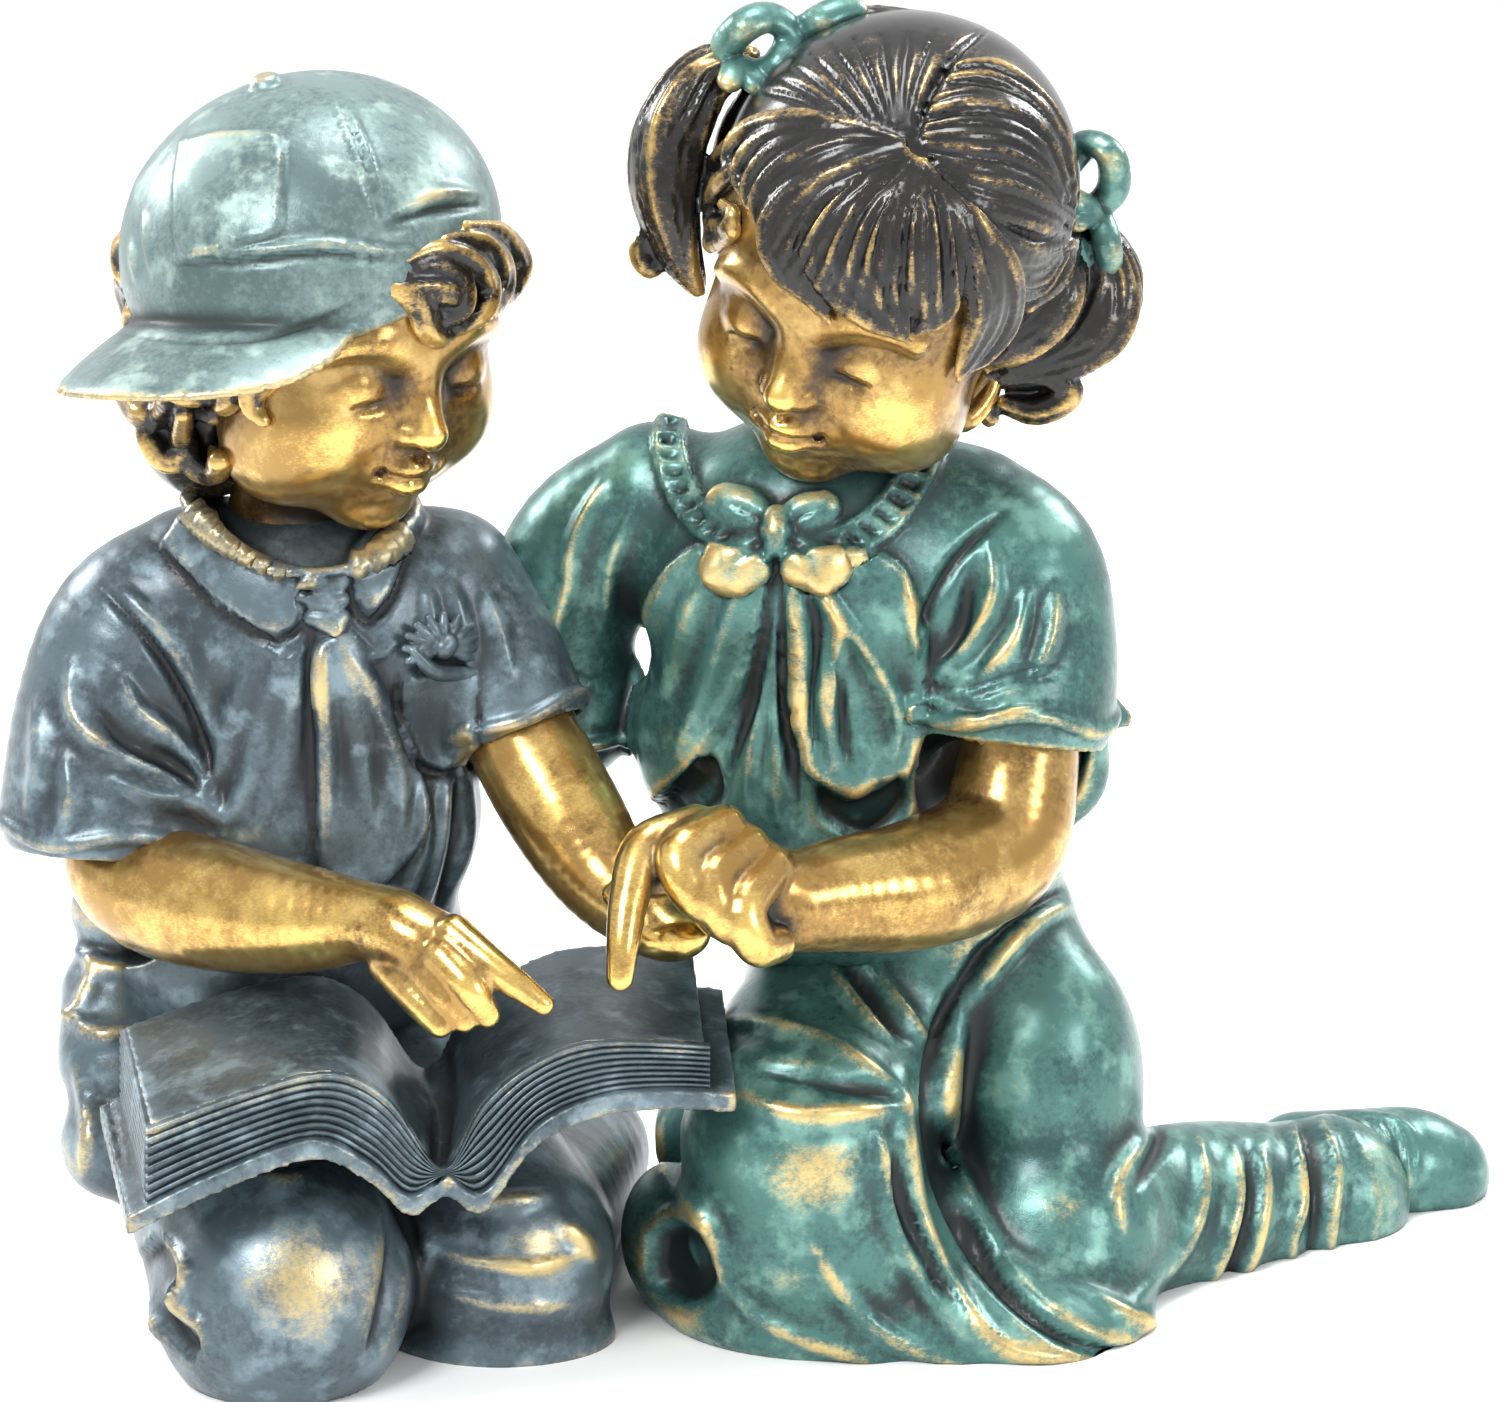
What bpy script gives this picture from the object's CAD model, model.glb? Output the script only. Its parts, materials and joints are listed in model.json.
# %% [markdown]
# # A garden statue of two children reading
#
# The real thing is one hollow resin casting with a bronze finish and a green patina. The frame holds its
# solid as one node. This lesson dresses that node with finely modelled clay: heads, hair, clothes, hands
# and a book, each a piece of its own, so that each can take its own cut of the finish.

# %% Load the frame
import json
import math

import bpy
import numpy as np
from mathutils import Matrix, Vector

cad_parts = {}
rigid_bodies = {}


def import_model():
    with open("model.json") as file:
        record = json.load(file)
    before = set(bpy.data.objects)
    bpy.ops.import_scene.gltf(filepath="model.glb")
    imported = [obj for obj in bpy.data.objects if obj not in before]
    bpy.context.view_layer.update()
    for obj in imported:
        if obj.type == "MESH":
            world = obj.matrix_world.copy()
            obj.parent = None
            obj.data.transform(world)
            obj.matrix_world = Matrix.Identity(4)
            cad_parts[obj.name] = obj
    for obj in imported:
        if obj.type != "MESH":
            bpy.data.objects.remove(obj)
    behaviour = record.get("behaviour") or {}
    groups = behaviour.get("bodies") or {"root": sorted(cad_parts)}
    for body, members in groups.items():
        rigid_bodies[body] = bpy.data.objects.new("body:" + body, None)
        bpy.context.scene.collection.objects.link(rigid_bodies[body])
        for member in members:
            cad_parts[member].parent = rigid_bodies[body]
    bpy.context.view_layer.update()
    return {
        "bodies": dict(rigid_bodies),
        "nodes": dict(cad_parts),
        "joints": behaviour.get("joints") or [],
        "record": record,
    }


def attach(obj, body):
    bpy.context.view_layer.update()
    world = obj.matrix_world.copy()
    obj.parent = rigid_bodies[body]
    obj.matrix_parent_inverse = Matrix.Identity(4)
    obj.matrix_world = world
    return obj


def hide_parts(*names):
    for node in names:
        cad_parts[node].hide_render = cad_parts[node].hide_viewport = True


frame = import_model()
NODE = "statue_casting"
# One unit of this lesson in metres, and the point of the clay that goes to the frame's origin.
UNIT = 0.001
MIDDLE = np.array((4.49, -1.97, 0.0))

# %% [markdown]
# ## Landmarks
#
# A sculptor measures a model from one standpoint. So do we: a landmark is given as so many units right
# and up of the middle of the front view, and so deep behind it. One unit is a millimetre. The view looks
# down by 16 degrees from 1.9 m away, and `seen` turns such a landmark into a place in space.

# %% Places in the front view
VIEW_ANGLE = math.radians(16)
VIEW_DISTANCE = 1900.0
VIEW_CENTRE = 187.8
LIFT = math.cos(VIEW_ANGLE)
LEAN = math.sin(VIEW_ANGLE)
TO_VIEW = (0, -LIFT, LEAN)
VIEW_ROUNDS = 12


def seen(across, up, deep, *radius):
    """The landmark that the view shows this far right and up of its centre, at this depth."""
    height = VIEW_CENTRE
    for _ in range(VIEW_ROUNDS):
        scale = (VIEW_DISTANCE + deep * LIFT - (height - VIEW_CENTRE) * LEAN) / VIEW_DISTANCE
        height = VIEW_CENTRE + (up * scale - deep * LEAN) / LIFT
    return (across * scale, deep, height, *radius)


def in_view(points):
    """Where the view shows the points: right and up of its centre."""
    scale = (VIEW_DISTANCE + points[:, 1] * LIFT - (points[:, 2] - VIEW_CENTRE) * LEAN) / VIEW_DISTANCE
    up = (points[:, 2] - VIEW_CENTRE) * LIFT + points[:, 1] * LEAN
    return np.stack([points[:, 0], up], 1) / scale[:, None]


def spline(points, steps=5):
    """A smooth run through the points, their radii included."""
    p = np.array(points, float)
    ends = np.vstack([2 * p[0] - p[1], p, 2 * p[-1] - p[-2]])
    run = []
    for a, b, c, d in zip(ends, ends[1:], ends[2:], ends[3:]):
        for t in np.linspace(0, 1, steps, endpoint=False):
            run.append(0.5 * (2 * b + (c - a) * t + (2 * a - 5 * b + 4 * c - d) * t ** 2
                              + (3 * b - a - 3 * c + d) * t ** 3))
    return np.array(run + [p[-1]])


def route(*stations):
    """A limb's stations, each given by its place in the view, its depth and its radius."""
    return [seen(*station) for station in stations]


print("the girl's knee on the ground lies at", np.round(seen(15, -132, -34), 1))

# %% [markdown]
# ## Clay
#
# Flesh, cloth and hair flow into each other, which boxes and cylinders don't. So a part is thrown up from
# balls and tapering limbs. One ball and one rod are modelled as primitives and copied for all of them.
# A Remesh modifier lays an even skin over the heap. Then every point of the skin slides along its normal
# until it lies on the soft union of the lumps, which is what gives a neck its rounding and a lip its line.

# %% One ball and one rod, to be copied


def primitive(add, **settings):
    """The corners and faces of a primitive, taken off the scene again."""
    bpy.ops.object.select_all(action="DESELECT")
    add(**settings)
    made = bpy.context.object
    corners = np.array([vertex.co[:] for vertex in made.data.vertices])
    faces = [list(face.vertices) for face in made.data.polygons]
    bpy.data.objects.remove(made)
    return corners, faces


UNIT_BALL = primitive(bpy.ops.mesh.primitive_ico_sphere_add, subdivisions=3, radius=1.0)
UNIT_ROD = primitive(bpy.ops.mesh.primitive_cone_add, vertices=18, radius1=1.0, radius2=1.0, depth=1.0)
print("ball:", len(UNIT_BALL[1]), "faces, rod:", len(UNIT_ROD[1]), "faces")

# %% Small mesh helpers


def new_piece(name, corners, faces):
    """A mesh object from corners and faces."""
    data = bpy.data.meshes.new(name)
    data.from_pydata([tuple(corner) for corner in corners], [], faces)
    piece = bpy.data.objects.new(name, data)
    bpy.context.scene.collection.objects.link(piece)
    return piece


def apply(piece, kind, **settings):
    """Adds one modifier to a piece and applies it."""
    bpy.ops.object.select_all(action="DESELECT")
    piece.select_set(True)
    bpy.context.view_layer.objects.active = piece
    modifier = piece.modifiers.new(kind, kind)
    for key, value in settings.items():
        setattr(modifier, key, value)
    bpy.ops.object.modifier_apply(modifier=modifier.name)


def vertices(piece):
    """The places of all the points of a piece."""
    points = np.empty(3 * len(piece.data.vertices))
    piece.data.vertices.foreach_get("co", points)
    return points.reshape(-1, 3)


def set_vertices(piece, points):
    """Moves the points of a piece to these places."""
    piece.data.vertices.foreach_set("co", points.ravel())
    piece.data.update()


def corner_lists(piece):
    """The ends of every edge and the corners of every triangle."""
    piece.data.calc_loop_triangles()
    pairs = np.empty(2 * len(piece.data.edges), int)
    piece.data.edges.foreach_get("vertices", pairs)
    triangles = np.empty(3 * len(piece.data.loop_triangles), int)
    piece.data.loop_triangles.foreach_get("vertices", triangles)
    return pairs.reshape(-1, 2), triangles.reshape(-1, 3)


def relaxed(points, pairs, share, times=1):
    """Every point moved this share of the way to the middle of its neighbours."""
    one, other = pairs.T
    count = np.bincount(pairs.ravel(), minlength=len(points))[:, None]
    for _ in range(times):
        total = np.stack([np.bincount(one, points[other, axis], len(points))
                          + np.bincount(other, points[one, axis], len(points))
                          for axis in range(points.shape[1])], 1)
        points = points + (total / count - points) * share
    return points


def normals(points, triangles):
    """The way out of the surface at each point, from the triangles around it."""
    a, b, c = triangles.T
    face = np.cross(points[b] - points[a], points[c] - points[a])
    total = np.stack([sum(np.bincount(corner, face[:, axis], len(points)) for corner in (a, b, c))
                      for axis in range(3)], 1)
    return total / np.maximum(np.linalg.norm(total, axis=1), 1e-12)[:, None]


# %% Balls and limbs

# A number past every distance in the statue, and one that keeps a division from failing.
FAR = 1e9
TINY = 1e-9


def turned(turns):
    """A rotation made of turns about named axes, in degrees."""
    matrix = Matrix.Identity(4)
    for axis, angle in turns:
        matrix = matrix @ Matrix.Rotation(math.radians(angle), 4, axis)
    return matrix


def soft_minimum(a, b, blend):
    """The smaller of two distances, rounded off where they are alike."""
    share = np.clip(0.5 + 0.5 * (b - a) / blend, 0, 1)
    return b * (1 - share) + a * share - blend * share * (1 - share)


class Ball:
    """An ellipsoid, blended in or scooped out. An arch lets its sides droop, as on a cap's brim."""

    def __init__(self, frame, centre, radii, turns, blend, scoop, arch):
        size = frame.to_scale()[0]
        place = np.array(frame @ Matrix.Translation(centre[:3]) @ turned(turns))
        self.radii = np.ones(3) * radii * size
        self.centre = place[:3, 3]
        self.axes = place[:3, :3] / size
        self.blend = blend * size
        self.scoop = scoop
        self.arch = arch / size
        self.low = self.centre - self.radii.max() * 1.2
        self.high = self.centre + self.radii.max() * 1.2

    def distance(self, points):
        """How far each point lies outside the ball."""
        local = (points - self.centre) @ self.axes
        local[:, 2] += self.arch * local[:, 0] ** 2
        near = np.linalg.norm(local / self.radii, axis=1)
        slope = np.linalg.norm(local / self.radii ** 2, axis=1)
        return near * (near - 1) / np.maximum(slope, 1e-6)

    def lumps(self):
        """The ball's rough mesh, for the heap under the skin."""
        corners = UNIT_BALL[0] * self.radii
        corners[:, 2] -= self.arch * corners[:, 0] ** 2
        yield corners @ self.axes.T + self.centre, UNIT_BALL[1]


class Limb:
    """A tapering limb along a smooth route, round or flattened, plain or combed with grooves."""

    def __init__(self, frame, stations, blend, scoop, flat, thin, cut_end, comb, away):
        size = frame.to_scale()[0]
        run = spline(stations)
        place = np.array(frame)
        self.points = run[:, :3] @ place[:3, :3].T + place[:3, 3]
        self.radii = np.maximum(run[:, 3] * size, 0.05)
        self.blend = blend * size
        self.scoop = scoop
        self.thin = thin
        self.cut_end = cut_end
        self.comb = comb
        self.away = place[:3, :3] @ np.array(away) + place[:3, 3]
        self.flat = None
        if flat is not None:
            across = place[:3, :3] @ np.array(flat, float)
            self.flat = across / np.linalg.norm(across)
        self.low = self.points.min(0) - self.radii.max()
        self.high = self.points.max(0) + self.radii.max()

    def stretches(self):
        """The limb in short stretches: two ends, each with its place and radius."""
        return zip(self.points, self.points[1:], self.radii, self.radii[1:])

    def distance(self, points):
        """How far each point lies outside the limb."""
        least = np.full(len(points), FAR)
        last = len(self.points) - 2
        columns = np.ascontiguousarray(points.T)
        for i, (start, end, thick, next_thick) in enumerate(self.stretches()):
            reach = max(thick, next_thick) + 2 * self.blend + 3
            inside = np.ones(len(points), bool)
            lowest = np.minimum(start, end) - reach
            highest = np.maximum(start, end) + reach
            for column, low, high in zip(columns, lowest, highest):
                inside &= (column > low) & (column < high)
            near = np.flatnonzero(inside)
            along = end - start
            from_start = points[near] - start
            t = from_start @ along / max(along @ along, TINY)
            held = np.clip(t, 0, None if self.cut_end and i == last else 1)
            off = from_start - held[:, None] * along
            if self.flat is not None:
                off = off + np.outer(off @ self.flat * (self.thin - 1), self.flat)
            radius = thick + (next_thick - thick) * np.minimum(held, 1.3)
            if self.comb:
                side = np.cross(along, start - self.away)
                side /= max(math.sqrt(side @ side), TINY)
                out = np.cross(side, along) / max(math.sqrt(along @ along), TINY)
                angle = np.arctan2(off @ side, off @ out)
                teeth, bite = self.comb
                radius = radius * (1 - bite * (0.5 - 0.5 * np.cos(teeth * angle + 0.6 * i / last)))
            gap = np.sqrt(np.einsum("ij,ij->i", off, off)) - radius
            if self.cut_end and i == last:
                gap = np.maximum(gap, (t - 1) * math.sqrt(along @ along))
            least[near] = np.minimum(least[near], gap)
        return least if self.flat is None else least / math.sqrt(self.thin)

    def lumps(self):
        """Rough meshes of a ball at each station and a rod between each two."""
        squeeze = np.eye(3)
        if self.flat is not None:
            squeeze = squeeze + np.outer(self.flat, self.flat) * (1 / self.thin - 1)
        for point, thick in list(zip(self.points, self.radii))[:-1 if self.cut_end else None]:
            yield UNIT_BALL[0] * thick @ squeeze.T + point, UNIT_BALL[1]
        for start, end, thick, next_thick in self.stretches():
            along = Vector(end - start)
            if along.length > 0.01:
                corners = UNIT_ROD[0] * (1, 1, along.length)
                corners[:, :2] *= np.where(corners[:, 2:] < 0, thick, next_thick)
                turn = squeeze @ np.array(along.to_track_quat("Z", "Y").to_matrix())
                yield corners @ turn.T + (start + end) / 2, UNIT_ROD[1]


# %% A part in clay

# How far out a point counts where no form is near, and the two passes over the skin: in how many rounds
# it is drawn onto the clay, and in how many of these it is eased first.
OUTSIDE = 30.0
PASSES = ((3, 3), (3, 1))


class Clay:
    """One part of the statue, built up of balls and limbs, in a frame that can be set."""

    def __init__(self, name):
        self.name = name
        self.forms = []
        self.frame = Matrix.Identity(4)

    def pose(self, place=(0, 0, 0), turns=(), size=1.0):
        """Sets the place, turn and size that the next forms are given in."""
        self.frame = Matrix.Translation(place[:3]) @ turned(turns) @ Matrix.Scale(size, 4)

    def ball(self, centre, radii, turns=(), blend=4.0, scoop=False, arch=0.0):
        """Adds a ball, or scoops one out."""
        self.forms.append(Ball(self.frame, centre, radii, turns, blend, scoop, arch))

    def limb(self, stations, blend=3.0, scoop=False, flat=None, thin=3.0, cut_end=False, comb=None,
             away=(0, 0, 0)):
        """Adds a limb through its stations, or scoops one out."""
        self.forms.append(Limb(self.frame, stations, blend, scoop, flat, thin, cut_end, comb, away))

    def distance(self, points):
        """How far each point lies outside the clay."""
        found = np.full(len(points), OUTSIDE)
        for form in self.forms:
            reach = 2 * form.blend + 5
            inside = (points > form.low - reach) & (points < form.high + reach)
            near = np.flatnonzero(inside.all(1))
            if len(near) == 0:
                continue
            gap = form.distance(points[near])
            if form.scoop:
                found[near] = -soft_minimum(-found[near], gap, form.blend)
            else:
                found[near] = soft_minimum(found[near], gap, form.blend)
        return found

    def model(self, cell):
        """The clay's skin as a piece, laid by a Remesh modifier and drawn onto the clay."""
        corners = []
        faces = []
        for form in self.forms:
            if not form.scoop:
                for points, rings in form.lumps():
                    faces += [[corner + len(corners) for corner in ring] for ring in rings]
                    corners += points.tolist()
        piece = new_piece(self.name, corners, faces)
        for rounds, eased in PASSES:
            apply(piece, "REMESH", mode="VOXEL", voxel_size=cell)
            points = vertices(piece)
            pairs, triangles = corner_lists(piece)
            for i in range(rounds):
                if i < eased:
                    points = relaxed(points, pairs, 0.5)
                gap = np.clip(self.distance(points), -1.5 * cell, 2 * cell)
                points = points - normals(points, triangles) * gap[:, None]
            set_vertices(piece, points)
        return piece


# %% Lines laid over clay

EYE = np.array((0.0, -LIFT * VIEW_DISTANCE, VIEW_CENTRE + LEAN * VIEW_DISTANCE))
STATUE_REACH = 280
RAY_STEPS = 60


def steepest(clay, points):
    """The way straight out of the clay at each point."""
    here = clay.distance(points)
    slope = np.stack([clay.distance(points + step) - here for step in np.eye(3) * 0.5], 1)
    return slope / np.maximum(np.linalg.norm(slope, axis=1), 1e-6)[:, None]


def laid(clay, lines, lift=0.0):
    """The lines, given as the view shows them with a radius each, laid over the clay or along its rim."""
    spots = np.array([spot for line in lines for spot in line], float)
    rays = np.array([seen(across, up, 0) for across, up in spots[:, :2]]) - EYE
    rays /= np.linalg.norm(rays, axis=1)[:, None]
    points = EYE + rays * (VIEW_DISTANCE - STATUE_REACH)
    best = points.copy()
    least = np.full(len(points), FAR)
    for _ in range(RAY_STEPS):
        gap = clay.distance(points) - lift
        closer = gap < least
        best[closer] = points[closer]
        least[closer] = gap[closer]
        points = points + rays * (gap * 0.9)[:, None]
    for _ in range(3):
        gap = clay.distance(best) - lift
        best = best - steepest(clay, best) * gap[:, None]
    run = iter(np.column_stack([best, spots[:, 2]]))
    return [[tuple(next(run)) for _ in line] for line in lines]


def fan(guides, count, radii, ragged=0.0):
    """Lines spread evenly over a family of guide lines, with these radii from root to tip. Ragged lines
    differ in thickness and end apart, as locks do."""
    guides = np.array(guides, float)
    columns = [spline(guides[:, j], 8) for j in range(guides.shape[1])]
    radii = np.interp(np.linspace(0, 1, guides.shape[1]), np.linspace(0, 1, len(radii)), radii)
    lines = []
    for k, pick in enumerate(np.linspace(0, len(columns[0]) - 1, count).round().astype(int)):
        swell = 1 + ragged * math.sin(2.4 * k + 0.7)
        line = [(*column[pick], radius * swell) for column, radius in zip(columns, radii)]
        reach = 9 * ragged * math.sin(1.9 * k)
        tip = np.array(line[-1][:2])
        end = tip + (tip - line[-2][:2]) * reach / 4 + (reach * 0.6, 0)
        lines.append(line[:-1] + [(*end, line[-1][2])])
    return lines


print("the eye of the view stands at", np.round(EYE))

# %% [markdown]
# ## Folds
#
# Cloth is smooth between its folds, and a fold is a line with a width, a height and two soft ends. So
# after a garment has its mass, its folds are drawn on it one by one, raised or pressed in, in the same
# view as the landmarks. Only what faces the view moves, so a fold doesn't come through on the back.

# %% Folds and creases drawn on a piece

# The valley beside a fold, as a share of its height and of its width.
VALLEY = 0.25
VALLEY_WIDTH = 2.4


def edge_gap(spots, run):
    """How far each spot lies from a line, and how far along the line the nearest place is."""
    gap = np.full(len(spots), FAR)
    place = np.zeros(len(spots))
    for i, (start, end) in enumerate(zip(run, run[1:])):
        along = end - start
        t = np.clip((spots - start) @ along / max(along @ along, TINY), 0, 1)
        off = np.linalg.norm(spots - start - t[:, None] * along, axis=1)
        closer = off < gap
        gap[closer] = off[closer]
        place[closer] = (i + t[closer]) / (len(run) - 1)
    return gap, place


def shifted(piece, change, view, facing):
    """Moves the points of a piece that face the view along their normals, by what the change gives."""
    points = vertices(piece)
    outward = normals(points, corner_lists(piece)[1])
    turned_to = np.clip(outward @ np.array(facing) * 2.5, 0, 1)
    set_vertices(piece, points + outward * (change(view(points)) * turned_to)[:, None])


def fold(piece, lines, width, height, view=in_view, facing=TO_VIEW):
    """Raises or presses in lines, each widest half way, with a shallow valley or rise beside it."""
    def change(spots):
        rise = np.zeros(len(spots))
        for line in lines:
            run = spline(line, 6)
            reach = 4 * width
            near = np.flatnonzero(((spots > run.min(0) - reach) & (spots < run.max(0) + reach)).all(1))
            gap, place = edge_gap(spots[near], run)
            swell = np.sin(np.pi * np.clip(place, 0.02, 0.98))
            wide = width * (0.55 + 0.45 * swell)
            crest = (1 + VALLEY) * np.exp(-(gap / wide) ** 2)
            crest -= VALLEY * np.exp(-(gap / (VALLEY_WIDTH * wide)) ** 2)
            rise[near] += height * crest * np.sqrt(swell)
        return rise
    shifted(piece, change, view, facing)


def panel(piece, outline, height, edge=1.6):
    """Raises, or sinks, all that the view shows inside a closed outline, with a soft step at its edge."""
    run = spline(list(outline) + [outline[0]], 5)

    def change(spots):
        rise = np.zeros(len(spots))
        near = np.flatnonzero(((spots > run.min(0) - edge) & (spots < run.max(0) + edge)).all(1))
        gap = edge_gap(spots[near], run)[0]
        x, y = spots[near].T
        inside = np.zeros(len(near), bool)
        for (ax, ay), (bx, by) in zip(run, run[1:]):
            if ay != by:
                inside ^= ((ay > y) != (by > y)) & (x < (bx - ax) * (y - ay) / (by - ay) + ax)
        share = np.clip(0.5 + np.where(inside, gap, -gap) / edge, 0, 1)
        rise[near] = height * share * share * (3 - 2 * share)
        return rise
    shifted(piece, change, in_view, TO_VIEW)


def from_behind(points):
    """Where the points are seen straight from behind: right and up of the view's centre."""
    return points[:, (0, 2)] * (-1, 1) - (0, VIEW_CENTRE)


def back_fold(piece, lines, width, height):
    """The same as fold, drawn on the back."""
    fold(piece, lines, width, height, from_behind, (0, 1, 0))


print("folds are drawn by their lines in the view")

# %% [markdown]
# ## The finish
#
# The casting is painted dark, then bronze or a green patina is laid over it and rubbed, so that the
# hollows stay nearly black, the broad forms carry the colour, and the ridges shine gold. A material can
# follow that only if the mesh says where its ridges are. So each piece gets two attributes: `fine`, how
# far a point stands proud of its close surroundings, and `broad`, the same over a wider patch. One node
# group mixes the coats from them, and each material gives it its own colours.

# %% Where a piece is proud and where it is hollow


def note_relief(piece, wide_rounds, wide_reach, patches):
    """Stores how proud each point stands over a small and a wide patch, and adds what hands have worn."""
    points = vertices(piece)
    pairs, triangles = corner_lists(piece)
    outward = normals(points, triangles)
    eased = points
    for name, rounds, reach in (("fine", 4, 0.30), ("broad", wide_rounds, wide_reach)):
        eased = relaxed(eased, pairs, 0.6, rounds)
        proud = ((points - eased) * outward).sum(1)[:, None]
        proud = relaxed(proud, pairs, 0.5, 2)[:, 0]
        values = np.clip(proud / reach, -1, 1)
        if name == "broad":
            for across, up, wide, amount in patches:
                off = in_view(points) - (across, up)
                facing = np.clip(-outward[:, 1], 0, 1)
                values += amount * facing * np.exp(-(off * off).sum(1) / wide ** 2)
        attribute = piece.data.attributes.new(name, "FLOAT", "POINT")
        attribute.data.foreach_set("value", values.astype(np.float32))


# %% The coats of the finish, as a node group


def add_node(tree, kind, inputs=None, **settings):
    """One node, with its settings, and its inputs linked or set by name or number."""
    node = tree.nodes.new(kind)
    for key, value in settings.items():
        setattr(node, key, value)
    for key, value in (inputs or {}).items():
        socket = node.inputs[key]
        if isinstance(value, bpy.types.NodeSocket):
            tree.links.new(value, socket)
        else:
            socket.default_value = value
    return node


def math_node(tree, operation, *values):
    """What one sum, product or difference gives."""
    node = add_node(tree, "ShaderNodeMath", dict(enumerate(values)), operation=operation)
    return node.outputs[0]


def blend_colours(tree, share, under, over):
    """This share of the upper colour over the lower one."""
    node = add_node(tree, "ShaderNodeMix", {0: share, 6: under, 7: over}, data_type="RGBA")
    return node.outputs[2]


def step_between(tree, value, low, high):
    """0 below low, 1 above high, and smooth between."""
    node = add_node(tree, "ShaderNodeMapRange", {0: value, 1: low, 2: high}, interpolation_type="SMOOTHSTEP")
    return node.outputs[0]


def coats_group():
    """Colour, metal, roughness and height of the rubbed finish."""
    tree = bpy.data.node_groups.new("rubbed coats", "ShaderNodeTree")
    for name in ("Hollow", "Dark", "Coat", "Bloom", "Gold"):
        tree.interface.new_socket(name, in_out="INPUT", socket_type="NodeSocketColor")
    for name in ("Rubbed", "Hollow Reach", "Mottle", "Metal", "Gloss"):
        tree.interface.new_socket(name, in_out="INPUT", socket_type="NodeSocketFloat")
    tree.interface.new_socket("Color", in_out="OUTPUT", socket_type="NodeSocketColor")
    for name in ("Metallic", "Roughness", "Height"):
        tree.interface.new_socket(name, in_out="OUTPUT", socket_type="NodeSocketFloat")
    given = tree.nodes.new("NodeGroupInput").outputs
    place = add_node(tree, "ShaderNodeTexCoord").outputs["Object"]
    fine = add_node(tree, "ShaderNodeAttribute", attribute_name="fine").outputs["Fac"]
    broad = add_node(tree, "ShaderNodeAttribute", attribute_name="broad").outputs["Fac"]

    def cloud(scale, detail, rough=0.6, spots=place):
        """Noise over the piece. A larger scale gives smaller clouds."""
        node = add_node(tree, "ShaderNodeTexNoise", {"Vector": spots, "Scale": scale, "Detail": detail,
                                                     "Roughness": rough})
        return node.outputs["Fac"]

    def times(value, factor):
        """One value times another."""
        return math_node(tree, "MULTIPLY", value, factor)

    def plus(first, *others):
        """The sum of the values."""
        for value in others:
            first = math_node(tree, "ADD", first, value)
        return first

    def swing(noise, amount):
        """Noise that swings this far around nothing, instead of around a half."""
        return times(math_node(tree, "SUBTRACT", noise, 0.5), amount)

    wide = cloud(28, 4)
    patch = cloud(75, 5)
    speck = cloud(420, 4, 0.7)
    grain = cloud(2600, 2)
    stretched = add_node(tree, "ShaderNodeMapping", {"Vector": place, "Scale": (900, 300, 2200),
                                                     "Rotation": (0.4, 0.7, 0.3)}).outputs[0]
    brushed = cloud(1.0, 2, 0.5, stretched)

    lit = plus(wide, swing(speck, given["Mottle"]), times(broad, 0.25))
    base = blend_colours(tree, step_between(tree, lit, 0.36, 0.66), given["Dark"], given["Coat"])
    bloom = step_between(tree, plus(patch, times(broad, 0.12)), 0.52, 0.72)
    base = blend_colours(tree, times(bloom, 0.8), base, given["Bloom"])
    proud = plus(times(fine, 0.28), times(broad, 0.8))
    ragged = swing(plus(times(speck, 0.6), times(brushed, 0.4)), 1.5)
    worn = plus(proud, plus(ragged, swing(patch, 1.1)), given["Rubbed"])
    rubbed = times(step_between(tree, worn, 0.35, 1.15), 0.9)
    base = blend_colours(tree, rubbed, base, given["Gold"])
    sunk = times(plus(proud, times(ragged, 0.25)), -1.0)
    hollow = step_between(tree, plus(sunk, given["Hollow Reach"]), 0.2, 1.0)
    colour = blend_colours(tree, hollow, base, given["Hollow"])
    dull = math_node(tree, "SUBTRACT", 1.0, times(hollow, 0.7))
    metal = times(plus(given["Metal"], times(rubbed, 0.45)), dull)
    rough = plus(given["Gloss"], plus(swing(patch, 0.25), times(hollow, 0.25)))
    height = plus(times(speck, 0.6), times(grain, 0.4))
    leave = tree.nodes.new("NodeGroupOutput").inputs
    for name, value in (("Color", colour), ("Metallic", metal), ("Roughness", rough), ("Height", height)):
        tree.links.new(value, leave[name])
    return tree


COATS = coats_group()
print("the finish has", len(COATS.nodes), "nodes")

# %% The five finishes of the statue


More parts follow.
